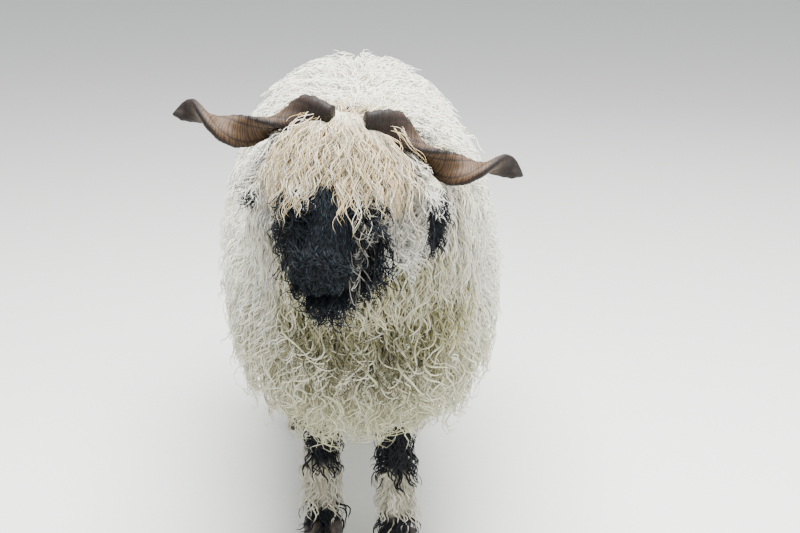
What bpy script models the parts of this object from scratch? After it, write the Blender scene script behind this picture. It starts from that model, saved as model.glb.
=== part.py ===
"""Valais Blacknose ewe, life size, standing and looking ahead with her head tilted.

She faces -Y, +Z is up and her left side is +X. All four feet stand on the plane Z = 0.
Each named part of the body is one solid. The coat is built to the tips of its locks:
rounded clumps on the back and sides, flat tapered locks on the forehead, cheeks, neck,
chest, lower edge, legs and tail.
"""

import math
import random

import bmesh
import bpy
import numpy as np
from mathutils import Matrix, Vector

# Sizes of the whole animal, in metres
GAP = 0.0003
FLEECE_DEPTH = 0.036
DOWN = np.array([0.0, 0.0, -1.0])
FLOOR_CLEAR = 0.030
LOWEST_TIP = 0.256
SKIRT_HEIGHT = 0.440
SKIRT_START = -0.13
SKIRT_END = 0.72
FLAT_ENOUGH = math.radians(0.7)
SHORTEST_EDGE = 0.00001

# The torso to the tips of its fleece: y, top, bottom, half width, height of the widest point
TORSO_OUTLINE = [
    (-0.285, 0.530, 0.400, 0.070, 0.460),
    (-0.262, 0.620, 0.320, 0.140, 0.470),
    (-0.195, 0.715, 0.290, 0.192, 0.480),
    (-0.080, 0.780, 0.282, 0.228, 0.495),
    (0.080, 0.795, 0.285, 0.244, 0.505),
    (0.260, 0.797, 0.288, 0.251, 0.510),
    (0.440, 0.794, 0.298, 0.250, 0.515),
    (0.600, 0.790, 0.325, 0.240, 0.525),
    (0.730, 0.772, 0.370, 0.205, 0.545),
    (0.815, 0.715, 0.440, 0.150, 0.570),
    (0.850, 0.655, 0.520, 0.075, 0.590),
]
TORSO_SIDES = 20
TORSO_RINGS = 13
TOP_FULLNESS = 2.1
BOTTOM_FULLNESS = 2.5

# The neck's axis and its outline to the tips: x, y, z, half width, half depth
NECK_OUTLINE = [
    (0.000, 0.080, 0.560, 0.150, 0.160),
    (0.000, -0.050, 0.590, 0.190, 0.185),
    (-0.006, -0.160, 0.632, 0.185, 0.176),
    (-0.018, -0.245, 0.690, 0.164, 0.150),
    (-0.030, -0.310, 0.740, 0.142, 0.120),
    (-0.036, -0.350, 0.772, 0.105, 0.080),
]
NECK_SIDES = 16
NECK_RINGS = 8

# Where the head and the torso part from the neck: a point on the plane and its forward normal
HEAD_PLANE = ((0.0, -0.285, 0.705), (0.0, -0.862, 0.507))
TORSO_PLANE = ((0.0, -0.165, 0.600), (0.0, -0.890, 0.456))

# The head hangs from its poll, between the horns
POLL = np.array([-0.040, -0.380, 0.836])
POLL_ABOVE_AXIS = 0.060
HEAD_LENGTH = 0.250
HEAD_PITCH = math.radians(58.0)
HEAD_ROLL = math.radians(9.5)
HEAD_YAW = math.radians(7.0)
FORWARD = np.array([0.0, -math.cos(HEAD_PITCH), -math.sin(HEAD_PITCH)])
DORSAL = np.array([0.0, -math.sin(HEAD_PITCH), math.cos(HEAD_PITCH)])
LATERAL = np.array([1.0, 0.0, 0.0])
NOSE_TIP = POLL - DORSAL * POLL_ABOVE_AXIS + FORWARD * HEAD_LENGTH

# The head under its wool: distance behind the nose tip, half width, height above and depth
# below its axis, and how far the axis is dropped
SKULL_OUTLINE = [
    (0.002, 0.016, 0.014, 0.014, 0.004),
    (0.012, 0.030, 0.024, 0.026, 0.002),
    (0.030, 0.039, 0.033, 0.036, 0.000),
    (0.060, 0.041, 0.037, 0.044, 0.000),
    (0.092, 0.048, 0.047, 0.052, 0.000),
    (0.122, 0.060, 0.054, 0.062, 0.000),
    (0.156, 0.071, 0.060, 0.070, 0.000),
    (0.195, 0.075, 0.064, 0.076, 0.002),
    (0.230, 0.072, 0.062, 0.078, 0.008),
    (0.258, 0.060, 0.050, 0.070, 0.020),
    (0.278, 0.036, 0.030, 0.045, 0.034),
]
SKULL_SIDES = 16
SKULL_RINGS = 13
# The woolly mass of the cheeks and forehead, on the same axis, to half the depth of its wool
CHEEK_OUTLINE = [
    (0.128, 0.062, 0.040, 0.082, 0.000),
    (0.155, 0.078, 0.056, 0.088, 0.000),
    (0.195, 0.086, 0.070, 0.092, 0.002),
    (0.235, 0.084, 0.072, 0.092, 0.008),
    (0.268, 0.066, 0.052, 0.080, 0.020),
]
CHEEK_RINGS = 7

EYE_RADIUS = 0.0140
LID_RADIUS = 0.0182
EYE_BEHIND_NOSE = 0.122
EYE_OUT = 0.0500
EYE_ABOVE_AXIS = 0.0285
EYE_OPENING = (0.0105, 0.0062)

NOSTRIL = (0.0075, 0.0115, 0.0068)
NOSTRIL_SIZE = (0.0034, 0.0085, 0.0042)
MOUTH_LENGTH = 0.056
MOUTH_BELOW_AXIS = 0.0165
MOUTH_GAP = 0.0022

# The horn: a flat band twisted about a drooping axis, from the poll outwards
HORN_ROOT = (0.020, 0.006, -0.022)
HORN_SPAN = 0.268
HORN_DROOP = math.radians(9.9)
HORN_BACKSWEEP = math.radians(18.0)
HORN_COIL_RADIUS = 0.0185
HORN_PHASE = (-0.52, 3.70, 5.06)
HORN_ROOT_WIDTH = 0.0255
HORN_ROOT_THICKNESS = 0.0150
HORN_RINGS = 24
HORN_SIDES = 8

# The ears: the line from root to tip in the head's own directions, then the leaf's sizes.
# Her left ear is held out and forward, and her right one lies back against the cheek.
EAR_LINE = {
    1: [(0.060, 0.212, -0.018), (0.106, 0.200, -0.012), (0.142, 0.160, -0.002), (0.155, 0.095, -0.024)],
    -1: [(0.058, 0.212, -0.018), (0.092, 0.205, -0.030), (0.112, 0.172, -0.034), (0.120, 0.120, -0.024)],
}
EAR_HALF_WIDTH = 0.023
EAR_THICKNESS = 0.0045
EAR_CUP = 0.75
EAR_RINGS = 8
EAR_SIDES = 7

# A front leg and a hind leg: x, y, z of its middle and the radius of its close wool
FRONT_LEG = [
    (0.078, 0.060, 0.480, 0.046),
    (0.074, 0.062, 0.400, 0.040),
    (0.068, 0.040, 0.330, 0.034),
    (0.063, 0.012, 0.262, 0.032),
    (0.063, 0.018, 0.180, 0.026),
    (0.063, 0.016, 0.092, 0.030),
    (0.063, -0.006, 0.047, 0.031),
]
HIND_LEG = [
    (0.112, 0.590, 0.500, 0.070),
    (0.112, 0.630, 0.420, 0.062),
    (0.108, 0.684, 0.345, 0.046),
    (0.104, 0.712, 0.285, 0.040),
    (0.102, 0.700, 0.190, 0.032),
    (0.100, 0.690, 0.092, 0.033),
    (0.100, 0.664, 0.047, 0.033),
]
LEG_RINGS = 9
LEG_SIDES = 9
FRONT_WOOL_TOP = 0.240
HIND_WOOL_TOP = 0.310
# How far the front feet are set to her right of the body's middle
FRONT_SHIFT = -0.013
# How far each foot is set ahead (-Y) of the plain stance
STEP = {"front_left": -0.055, "front_right": 0.020, "hind_left": 0.030, "hind_right": -0.030}

CORONET_HEIGHT = 0.047
CLAW_LENGTH = 0.066
CLAW_HALF_WIDTH = 0.0165
CLAW_APART = 0.0175

# The tail's line and the radius of its close wool: y, z, radius
TAIL = [
    (0.780, 0.680, 0.030),
    (0.826, 0.682, 0.034),
    (0.866, 0.640, 0.036),
    (0.880, 0.570, 0.036),
    (0.884, 0.490, 0.032),
    (0.886, 0.420, 0.020),
    (0.887, 0.392, 0.008),
]
TAIL_RINGS = 11
TAIL_SIDES = 10

COLOURS = {
    "fleece": (0.80, 0.76, 0.66),
    "black_wool": (0.018, 0.018, 0.022),
    "horn": (0.20, 0.115, 0.065),
    "eye": (0.030, 0.018, 0.010),
    "hoof": (0.045, 0.038, 0.034),
}
ROUGHNESS = {"fleece": 0.95, "black_wool": 0.85, "horn": 0.45, "eye": 0.08, "hoof": 0.55}

chance = random.Random(8)


def through(rows, count):
    """Catmull-Rom curve through the rows, read at count even steps."""
    rows = np.asarray(rows, float)
    ends = np.vstack([2 * rows[0] - rows[1], rows, 2 * rows[-1] - rows[-2]])
    at = np.linspace(0, len(rows) - 1, count)
    first = np.minimum(at.astype(int), len(rows) - 2)
    t = (at - first)[:, None]
    p0, p1, p2, p3 = (ends[first + k] for k in range(4))
    return 0.5 * (
        2 * p1
        + (p2 - p0) * t
        + (2 * p0 - 5 * p1 + 4 * p2 - p3) * t**2
        + (3 * p1 - p0 - 3 * p2 + p3) * t**3
    )


def unit(v):
    return v / np.linalg.norm(v, axis=-1, keepdims=True)


def walls(count, sides):
    """The quads between neighbouring rings."""
    faces = []
    for i in range(count - 1):
        for j in range(sides):
            k = (j + 1) % sides
            faces.append((i * sides + j, i * sides + k, (i + 1) * sides + k, (i + 1) * sides + j))
    return faces


def closed_loft(rings):
    """A closed mesh over rings of points, each end fanned to its ring's centre."""
    count, sides, _ = rings.shape
    points = np.vstack([rings.reshape(-1, 3), rings[0].mean(0), rings[-1].mean(0)])
    faces = walls(count, sides)
    first, last = count * sides, count * sides + 1
    for j in range(sides):
        k = (j + 1) % sides
        faces.append((first, k, j))
        faces.append((last, (count - 1) * sides + j, (count - 1) * sides + k))
    return points, faces


def pointed_loft(rings, tip):
    """A closed mesh over rings of points, flat at its root and drawn to one point at its tip."""
    count, sides, _ = rings.shape
    points = np.vstack([rings.reshape(-1, 3), tip])
    faces = [tuple(range(sides))[::-1], *walls(count, sides)]
    for j in range(sides):
        faces.append((count * sides, (count - 1) * sides + j, (count - 1) * sides + (j + 1) % sides))
    return points, faces


def leaf_loft(front, back):
    """A thin closed leaf between two sheets of points, with square edges."""
    rings = np.concatenate([front, back[:, ::-1]], axis=1)
    count, sides, _ = rings.shape
    faces = walls(count, sides)
    for j in range(sides // 2 - 1):
        root = (j, j + 1, sides - 2 - j, sides - 1 - j)
        faces.append(root[::-1])
        faces.append(tuple((count - 1) * sides + k for k in root))
    return rings.reshape(-1, 3), faces


def rings_along(centres, side, up, half_width, half_height, sides):
    """Elliptical rings set on centres, spanned by the side and up vectors."""
    angle = np.arange(sides) * math.tau / sides
    across = np.cos(angle)[None, :, None] * side[:, None, :] * half_width[:, None, None]
    rise = np.sin(angle)[None, :, None] * up[:, None, :] * half_height[:, None, None]
    return centres[:, None, :] + across + rise


def wool(name):
    material = bpy.data.materials.get(name)
    if material is None:
        material = bpy.data.materials.new(name)
        material.use_nodes = True
        shader = material.node_tree.nodes["Principled BSDF"]
        shader.inputs["Base Color"].default_value = (*COLOURS[name], 1.0)
        shader.inputs["Roughness"].default_value = ROUGHNESS[name]
    return material


def solid(name, shape, material=None, move=None, grow=0.0):
    """One closed mesh object, its faces turned to point out and moved out by grow."""
    points, faces = shape
    mesh = bpy.data.meshes.new(name)
    mesh.from_pydata([tuple(p) for p in points], [], faces)
    if move is not None:
        mesh.transform(move)
    shaped = bmesh.new()
    shaped.from_mesh(mesh)
    bmesh.ops.triangulate(shaped, faces=shaped.faces)
    if shaped.calc_volume(signed=True) < 0:
        bmesh.ops.reverse_faces(shaped, faces=shaped.faces)
    shaped.normal_update()
    away = [v.normal * (grow * v.calc_shell_factor()) for v in shaped.verts]
    for v, step in zip(shaped.verts, away):
        v.co += step
    shaped.to_mesh(mesh)
    shaped.free()
    obj = bpy.data.objects.new(name, mesh)
    bpy.context.scene.collection.objects.link(obj)
    if material:
        mesh.materials.append(wool(material))
        mesh.shade_smooth()
        mesh.set_sharp_from_angle(angle=math.radians(40))
    return obj


def merge_flat_faces(obj):
    """Drops edges too short to see, and joins the triangles that lie in one plane."""
    shaped = bmesh.new()
    shaped.from_mesh(obj.data)
    bmesh.ops.dissolve_degenerate(shaped, dist=SHORTEST_EDGE, edges=shaped.edges)
    bmesh.ops.dissolve_limit(shaped, angle_limit=FLAT_ENOUGH, verts=shaped.verts, edges=shaped.edges)
    bmesh.ops.triangulate(shaped, faces=shaped.faces)
    shaped.to_mesh(obj.data)
    shaped.free()


def keep_largest(mesh):
    """Leaves only the closed surface that holds the most volume."""
    shaped = bmesh.new()
    shaped.from_mesh(mesh)
    left = set(shaped.faces)
    bodies = []
    while left:
        body, edge = set(), [left.pop()]
        while edge:
            face = edge.pop()
            body.add(face)
            for e in face.edges:
                for other in e.link_faces:
                    if other in left:
                        left.remove(other)
                        edge.append(other)
        size = sum(f.verts[0].co.cross(f.verts[1].co).dot(f.verts[2].co) for f in body)
        bodies.append((size, body))
    bodies.sort(key=lambda b: -b[0])
    for _, body in bodies[1:]:
        bmesh.ops.delete(shaped, geom=list(body), context="FACES")
    loose = [v for v in shaped.verts if not v.link_faces]
    bmesh.ops.delete(shaped, geom=loose, context="VERTS")
    shaped.to_mesh(mesh)
    shaped.free()


def boolean(obj, others, operation):
    """Joins or cuts obj by all the other objects at once, and removes them."""
    group = bpy.data.collections.new("operands")
    for other in others:
        group.objects.link(other)
        bpy.context.scene.collection.objects.unlink(other)
    bpy.context.scene.collection.children.link(group)
    modifier = obj.modifiers.new(operation.lower(), "BOOLEAN")
    modifier.operation = operation
    modifier.operand_type = "COLLECTION"
    modifier.collection = group
    modifier.solver = "MANIFOLD"
    bpy.context.view_layer.update()
    graph = bpy.context.evaluated_depsgraph_get()
    mesh = bpy.data.meshes.new_from_object(obj.evaluated_get(graph), depsgraph=graph)
    obj.modifiers.clear()
    obj.data = mesh
    for other in others:
        bpy.data.objects.remove(other)
    bpy.data.collections.remove(group)
    keep_largest(mesh)


def copy_of(obj, name, material):
    mesh = obj.data.copy()
    mesh.materials.clear()
    mesh.materials.append(wool(material))
    twin = bpy.data.objects.new(name, mesh)
    bpy.context.scene.collection.objects.link(twin)
    return twin


def beyond(plane, forward, thickness=1.6, size=2.0):
    """A slab cutter that fills one side of a plane and half a gap more."""
    point, normal = Vector(plane[0]), Vector(plane[1]).normalized()
    way = normal if forward else -normal
    turn = way.to_track_quat("Z", "X").to_matrix().to_4x4()
    place = Matrix.Translation(point - way * (GAP / 2)) @ turn
    corners = [(x, y, z) for z in (0, 1) for x, y in ((-1, -1), (1, -1), (1, 1), (-1, 1))]
    box = np.array(corners, float) * (size / 2, size / 2, thickness)
    faces = [(0, 3, 2, 1), (4, 5, 6, 7), (0, 1, 5, 4), (1, 2, 6, 5), (2, 3, 7, 6), (3, 0, 4, 7)]
    return solid("slab", (box, faces), move=place)


def torso_grid(inset, rings, sides):
    """Egg-shaped sections across Y, drawn in from the fleece's outline by the inset."""
    y, top, bottom, half, widest = through(TORSO_OUTLINE, rings).T
    middle = (y[0] + y[-1]) / 2
    y = middle + (y - middle) * (1 - 2 * inset / (y[-1] - y[0]))
    shrink = np.minimum(inset, half * 0.45)
    top, bottom, half = top - shrink, bottom + shrink, half - shrink
    angle = np.arange(sides) * math.tau / sides
    up = np.cos(angle)
    fullness = np.where(up > 0, TOP_FULLNESS, BOTTOM_FULLNESS)
    across = np.sign(np.sin(angle)) * np.abs(np.sin(angle)) ** (2 / fullness)
    rise = np.sign(up) * np.abs(up) ** (2 / fullness)
    reach = np.where(up[None, :] > 0, (top - widest)[:, None], (widest - bottom)[:, None])
    height = widest[:, None] + rise[None, :] * reach
    along = np.repeat(y[:, None], sides, axis=1)
    return np.stack([across[None, :] * half[:, None], along, height], axis=2)


def neck_grid(inset, rings, sides):
    """Round sections along the neck, drawn in from its outline by the inset."""
    x, y, z, half, depth = through(NECK_OUTLINE, rings).T
    centres = np.stack([x, y, z], axis=1)
    way = unit(np.gradient(centres, axis=0))
    side = np.tile(LATERAL, (len(y), 1))
    up = unit(np.cross(way, side))
    return rings_along(centres, side, up, half - inset, depth - inset, sides)


def on_head(out, behind, above):
    """A point of the head before its tilt: out from its middle, behind the nose, above its axis."""
    return NOSE_TIP - FORWARD * behind + LATERAL * out + DORSAL * above


def head_turn():
    """Turns the head about its poll: her right ear up, and her nose a little to her right."""
    pivot = Vector(POLL)
    roll = Matrix.Rotation(HEAD_ROLL, 4, "Y")
    yaw = Matrix.Rotation(-HEAD_YAW, 4, "Z")
    return Matrix.Translation(pivot) @ yaw @ roll @ Matrix.Translation(-pivot)


def turned(points):
    """Points or directions of the head, turned with it."""
    turn = np.array(head_turn())
    return points @ turn[:3, :3].T + turn[:3, 3]


def head_grid(outline, rings, sides):
    behind, half, above, below, drop = through(outline, rings).T
    angle = np.arange(sides) * math.tau / sides
    out = np.cos(angle)[None, :] * half[:, None]
    high = np.maximum(np.sin(angle), 0)[None, :] * above[:, None]
    low = np.minimum(np.sin(angle), 0)[None, :] * below[:, None]
    axis = NOSE_TIP[None, :] - FORWARD[None, :] * behind[:, None] - DORSAL[None, :] * drop[:, None]
    grid = axis[:, None, :] + out[:, :, None] * LATERAL + (high + low)[:, :, None] * DORSAL
    return turned(grid.reshape(-1, 3)).reshape(grid.shape)


def surface_at(grid, part, turn):
    """Point and outward normal of a ring grid, at a part of its length and a part of a turn."""
    rings, sides, _ = grid.shape

    def point(part, turn):
        i = min(max(part, 0.0), 1.0) * (rings - 1)
        low = min(int(i), rings - 2)
        j = (turn % 1.0) * sides
        left = int(j) % sides
        right = (left + 1) % sides
        near = grid[low, left] * (1 - j + int(j)) + grid[low, right] * (j - int(j))
        far = grid[low + 1, left] * (1 - j + int(j)) + grid[low + 1, right] * (j - int(j))
        return near * (1 - i + low) + far * (i - low)

    small = 0.01
    along = point(part + small, turn) - point(part - small, turn)
    around = point(part, turn + small) - point(part, turn - small)
    here = point(part, turn)
    normal = unit(np.cross(along, around))
    middle = grid[min(int(part * (rings - 1)), rings - 1)].mean(0)
    return here, normal if normal @ (here - middle) > 0 else -normal


def rooted(grid, spacing):
    """Root places about one spacing apart all over a ring grid, staggered and a little uneven."""
    middle_line = np.concatenate([[0], np.cumsum(np.linalg.norm(np.diff(grid[:, 0], axis=0), axis=1))])
    rings = max(2, round(middle_line[-1] / spacing))
    for i in range(rings):
        part = np.interp((i + 0.5) / rings * middle_line[-1], middle_line, np.linspace(0, 1, len(middle_line)))
        ring = grid[round(part * (len(grid) - 1))]
        girth = np.linalg.norm(ring - np.roll(ring, 1, axis=0), axis=1).sum()
        count = max(3, round(girth / spacing))
        for j in range(count):
            uneven = chance.uniform(-0.16, 0.16)
            here, normal = surface_at(grid, part + uneven / rings, (j + 0.5 * (i % 2) + uneven) / count)
            yield here, normal


def clump(root, normal, lie, radius, rise):
    """A rounded tuft of fleece: a five-sided dome leaning along its lie, sunk at its root."""
    lie = unit(lie - normal * (lie @ normal))
    side = np.cross(normal, lie)
    heights = np.array([-0.15, 0.72]) * rise
    radii = np.array([1.06, 0.74]) * radius
    leans = np.array([0.0, 0.25]) * radius
    centres = root + normal * heights[:, None] + lie * leans[:, None]
    angle = (np.arange(5) + chance.uniform(0, 1)) * math.tau / 5
    ring = np.cos(angle)[:, None] * lie * 1.12 + np.sin(angle)[:, None] * side * 0.92
    rings = centres[:, None, :] + ring[None] * radii[:, None, None]
    return pointed_loft(rings, root + normal * rise * 1.15 + lie * radius * 0.50)


def lock(root, normal, lie, length, width, rise, wave=0.0, sink=0.014, short=False):
    """A flat tapered lock: it leaves its root, lies along its lie and waves to one point."""
    lie = unit(lie - normal * (lie @ normal) * 0.75)
    side = unit(np.cross(normal, lie))
    t = np.array([0.0, 0.52, 1.0] if short else [0.0, 0.38, 0.74, 1.0])
    lift = -sink + (rise + sink) * np.sin(np.minimum(t * 1.5, 1) * math.pi / 2)
    sway = wave * np.sin(t * math.tau * 0.8) * (0.3 + t)
    line = root + normal * lift[:, None] + lie * (t * length)[:, None] + side * sway[:, None]
    way = unit(np.gradient(line, axis=0))
    across = unit(np.cross(np.tile(normal, (len(t), 1)), way))
    out = np.cross(way, across)
    half = width / 2 * np.array([0.75, 1.0, 0.72])[: len(t) - 1]
    thick = half * np.array([0.75, 0.46, 0.42])[: len(t) - 1]
    rings = rings_along(line[:-1], across[:-1], out[:-1], half, thick, 4)
    return pointed_loft(rings, line[-1])


def torso_coat():
    """Rounded clumps over the back, sides and rump, and flatter ones below the belly."""
    grid = torso_grid(FLEECE_DEPTH, 40, 48)
    for here, normal in rooted(grid, 0.19):
        if normal[2] < -0.80 and in_front_of(TORSO_PLANE, here) < -0.02:
            yield clump(here, normal, np.array([0.0, 1.0, 0.0]), 0.092, 0.022)
    for here, normal in rooted(grid, 0.142):
        if here[2] < SKIRT_HEIGHT or in_front_of(TORSO_PLANE, here) > -0.02:
            continue
        size = chance.uniform(0.92, 1.10)
        lie = DOWN * 0.9 + np.array([0.0, 0.5, 0.0])
        yield clump(here, normal, lie, 0.077 * size, FLEECE_DEPTH * chance.uniform(0.92, 1.08))


def skirt():
    """Two rows of locks that hang along the lower edge of each side, from chest to rump."""
    outline = through(TORSO_OUTLINE, 60)
    for height, length, spacing in ((SKIRT_HEIGHT, 0.135, 0.090), (0.365, 0.098, 0.080)):
        count = round((SKIRT_END - SKIRT_START) / spacing)
        for j in range(count):
            y = SKIRT_START + (j + 0.5 + chance.uniform(-0.15, 0.15)) * (SKIRT_END - SKIRT_START) / count
            _, _, bottom, half, widest = (np.interp(y, outline[:, 0], outline[:, k]) for k in range(5))
            fall = min((widest - height) / (widest - bottom), 0.95)
            turn_in = math.sqrt(1 - max(fall, 0) ** BOTTOM_FULLNESS) ** (2 / BOTTOM_FULLNESS)
            for side in (1, -1):
                root = np.array([side * (half * turn_in - FLEECE_DEPTH), y, height])
                normal = unit(np.array([side, 0.0, -0.25]))
                lie = DOWN + np.array([-0.25 * side, 0.12, 0.0])
                reach = min(length * chance.uniform(0.9, 1.1), height - LOWEST_TIP)
                wave = chance.choice((-1, 1)) * 0.010
                yield lock(root, normal, lie, reach, 0.068, 0.020, wave)


def in_front_of(plane, point):
    return float((point - np.array(plane[0])) @ np.array(plane[1]))


def bib():
    """Long curled locks that hang in rows from the throat down over the chest."""
    rows = ((0.575, 5, 0.110), (0.505, 6, 0.130), (0.435, 7, 0.135), (0.375, 6, 0.110))
    for z, count, reach in rows:
        for j in range(count):
            part = (j + 0.5) / count * 2 - 1 + chance.uniform(-0.08, 0.08)
            x = part * reach
            y = -0.235 + 0.9 * x * x / reach - 0.14 * max(z - 0.50, 0) + 0.25 * max(0.42 - z, 0)
            normal = unit(np.array([x * 1.4, -0.25, 0.02]))
            root = np.array([x - 0.01, y, z])
            wave = chance.choice((-1, 1)) * 0.014
            length = min(0.130 * chance.uniform(0.9, 1.12), z - LOWEST_TIP - chance.uniform(0, 0.02))
            yield lock(root, normal, DOWN, length, 0.046, 0.030, wave, 0.03)


def neck_coat():
    """The ruff: locks that hang down and back all round the neck."""
    grid = neck_grid(FLEECE_DEPTH * 0.8, 24, 40)
    for here, normal in rooted(grid, 0.092):
        if in_front_of(TORSO_PLANE, here) < -0.02:
            continue
        if in_front_of(HEAD_PLANE, here) > 0.05:
            continue
        size = chance.uniform(0.9, 1.12)
        if normal[2] > 0.55:
            yield clump(here, normal, np.array([0.0, 1.0, 0.0]), 0.054 * size, 0.030)
            continue
        lie = DOWN + np.array([0.0, 0.35, 0.0])
        wave = chance.choice((-1, 1)) * 0.010
        yield lock(here, normal, lie, 0.105 * size, 0.066 * size, 0.026, wave)


def head_lock(out, behind, above, normal, lie, length, width, rise, wave, short=False):
    """A lock set by the head's own directions, turned with the head."""
    root = turned(on_head(out, behind, above)[None])[0]
    own = np.array([LATERAL, -FORWARD, DORSAL]) @ np.array(head_turn())[:3, :3].T
    return lock(root, unit(normal @ own), unit(lie @ own), length, width, rise, wave, short=short)


def head_clump(out, behind, above, normal, radius, rise):
    """A rounded tuft set by the head's own directions, turned with the head."""
    root = turned(on_head(out, behind, above)[None])[0]
    own = np.array([LATERAL, -FORWARD, DORSAL]) @ np.array(head_turn())[:3, :3].T
    return clump(root, unit(normal @ own), np.array([0.0, 1.0, -0.3]), radius, rise)


def forelock():
    """Wavy locks that fall from the poll and forehead over the eyes and the bridge of the nose."""
    rows = ((0.256, 5, 0.044, 0.155), (0.230, 6, 0.080, 0.130), (0.196, 6, 0.084, 0.096))
    for behind, count, reach, length in rows:
        for j in range(count):
            part = (j + 0.5) / count * 2 - 1 + chance.uniform(-0.05, 0.05)
            out = part * reach
            above = 0.072 * math.sqrt(max(1 - (out / 0.098) ** 2, 0.05)) - max(behind - 0.24, 0) * 0.5
            normal = np.array([out * 8.0, -0.18, 0.8])
            lie = np.array([out * 4.0, -1.0, -0.40])
            wave = chance.choice((-1, 1)) * 0.009
            size = chance.uniform(0.88, 1.12)
            yield head_lock(out, behind, above, normal, lie, length * size, 0.034, 0.012, wave)
    for out in (-0.040, 0.040):
        yield head_clump(out, 0.272, 0.008, np.array([out * 3, 0.9, 0.5]), 0.040, 0.016)


def cheeks():
    """Woolly locks that hang from the sides of the head, behind the eyes and below the ears."""
    for side in (1, -1):
        for behind, above in ((0.238, 0.0), (0.190, 0.004), (0.222, -0.045), (0.168, -0.040)):
            out = side * (0.078 - 0.25 * max(0.19 - behind, 0))
            normal = np.array([side * 1.0, 0.0, -0.10])
            lie = np.array([side * 0.45, -1.0, -0.12])
            wave = chance.choice((-1, 1)) * 0.009
            yield head_lock(out, behind, above, normal, lie, 0.092, 0.054, 0.022, wave)
        for behind, above in ((0.236, 0.022), (0.204, 0.036)):
            normal = np.array([side * 0.45, 0.1, 0.9])
            lie = np.array([side * 1.0, -0.9, -0.35])
            yield head_lock(side * 0.070, behind, above, normal, lie, 0.088, 0.046, 0.014, 0.006 * side)


def muzzle_wool():
    """Short black curls round the sides of the muzzle and jaw, and a fringe below the chin."""
    for side in (1, -1):
        for behind, above in ((0.062, -0.018), (0.090, 0.004), (0.100, -0.040)):
            out = side * (0.036 + 0.16 * (behind - 0.05))
            normal = np.array([side * 1.0, 0.0, -0.15])
            lie = np.array([side * 0.55, -1.0, -0.45])
            wave = chance.choice((-1, 1)) * 0.005
            yield head_lock(out, behind, above, normal, lie, 0.075, 0.048, 0.026, wave, short=True)
    for behind, count, reach in ((0.034, 3, 0.026), (0.066, 4, 0.036), (0.104, 3, 0.044)):
        for j in range(count):
            out = ((j + 0.5) / count * 2 - 1) * reach
            normal = np.array([out * 12.0, -0.3, -0.9])
            lie = np.array([out * 10.0, -0.9, -0.6])
            above = -0.034 - 0.1 * (behind - 0.04)
            wave = chance.choice((-1, 1)) * 0.006
            yield head_lock(out, behind, above, normal, lie, 0.088, 0.034, 0.012, wave, short=True)


def ball(centre, radius, turns=10, levels=5):
    angle = np.arange(turns) * math.tau / turns
    latitude = np.linspace(-math.pi / 2, math.pi / 2, levels + 2)[1:-1]
    rings = np.stack(
        [
            np.cos(latitude)[:, None] * np.cos(angle)[None, :],
            np.cos(latitude)[:, None] * np.sin(angle)[None, :],
            np.repeat(np.sin(latitude)[:, None], turns, axis=1),
        ],
        axis=2,
    )
    points, faces = closed_loft(rings)
    points[-2], points[-1] = (0, 0, -1), (0, 0, 1)
    return points * radius + np.array(centre), faces


def rod(base, way, up, length, half_width, half_height, sides=10, taper=1.0):
    """A straight oval rod, for the openings of the lids and nostrils."""
    way = unit(np.array(way))
    side = unit(np.cross(np.array(up), way))
    up = np.cross(way, side)
    centres = np.array(base) + way * np.array([[0.0], [length]])
    size = np.array([1.0, taper])
    twice = np.ones((2, 1))
    return closed_loft(
        rings_along(centres, side * twice, up * twice, half_width * size, half_height * size, sides)
    )


def horn(side):
    """A flat band carried round a helix whose axis runs out from the poll, its width radial."""
    t = np.linspace(0.0, 1.0, HORN_RINGS)
    droop, sweep = HORN_DROOP, HORN_BACKSWEEP
    axis = unit(np.array([math.cos(droop) * math.cos(sweep), math.sin(sweep), -math.sin(droop)]))
    lift = unit(np.array([0.0, 0.0, 1.0]) - axis * axis[2])
    front = np.cross(axis, lift)
    front = front if front[1] < 0 else -front
    start, rate, more = HORN_PHASE
    angle = start + rate * t + more * t * t
    coil = HORN_COIL_RADIUS * (1 - 0.50 * t**2)
    radial = np.cos(angle)[:, None] * lift - np.sin(angle)[:, None] * front
    root = POLL + np.array(HORN_ROOT)
    centres = root + axis * (t * HORN_SPAN)[:, None] + radial * (coil * (0.5 + 0.5 * np.minimum(t * 5, 1)))[:, None]
    way = unit(np.gradient(centres, axis=0))
    thin = unit(np.cross(way, radial))
    wide = unit(np.cross(thin, way))
    width = HORN_ROOT_WIDTH * (1 - 0.84 * t**3)
    thick = HORN_ROOT_THICKNESS * (1 - 0.75 * t**0.8)
    rings = rings_along(centres, wide, thin, width, thick, HORN_SIDES)
    rings[:, :, 0] = POLL[0] + (rings[:, :, 0] - POLL[0]) * side
    return closed_loft(rings)


def ear(side):
    """A cupped leaf that leaves the head sideways and hangs, its hollow forward and out."""
    line = through([on_head(*row) for row in EAR_LINE[side]], EAR_RINGS)
    t = np.linspace(0.0, 1.0, EAR_RINGS)
    across = np.linspace(-1.0, 1.0, EAR_SIDES)
    way = unit(np.gradient(line, axis=0))
    face = np.tile(unit(LATERAL * 0.75 + DORSAL * 0.65), (EAR_RINGS, 1))
    wide = unit(np.cross(way, face))
    face = np.cross(wide, way)
    half = EAR_HALF_WIDTH * np.interp(t, [0, 0.25, 0.55, 0.85, 1], [0.45, 0.80, 1.0, 0.66, 0.22])
    cup = EAR_CUP * half[:, None] * (across[None, :] ** 2)
    sheet = (
        line[:, None, :]
        + wide[:, None, :] * (across[None, :] * half[:, None])[:, :, None]
        + face[:, None, :] * cup[:, :, None]
    )
    rim = face[:, None, :] * ((1 - 0.35 * np.abs(across)) * EAR_THICKNESS / 2)[None, :, None]
    points, faces = leaf_loft(sheet + rim, sheet - rim)
    points[:, 0] = POLL[0] + (points[:, 0] - POLL[0]) * side
    return points, faces


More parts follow.
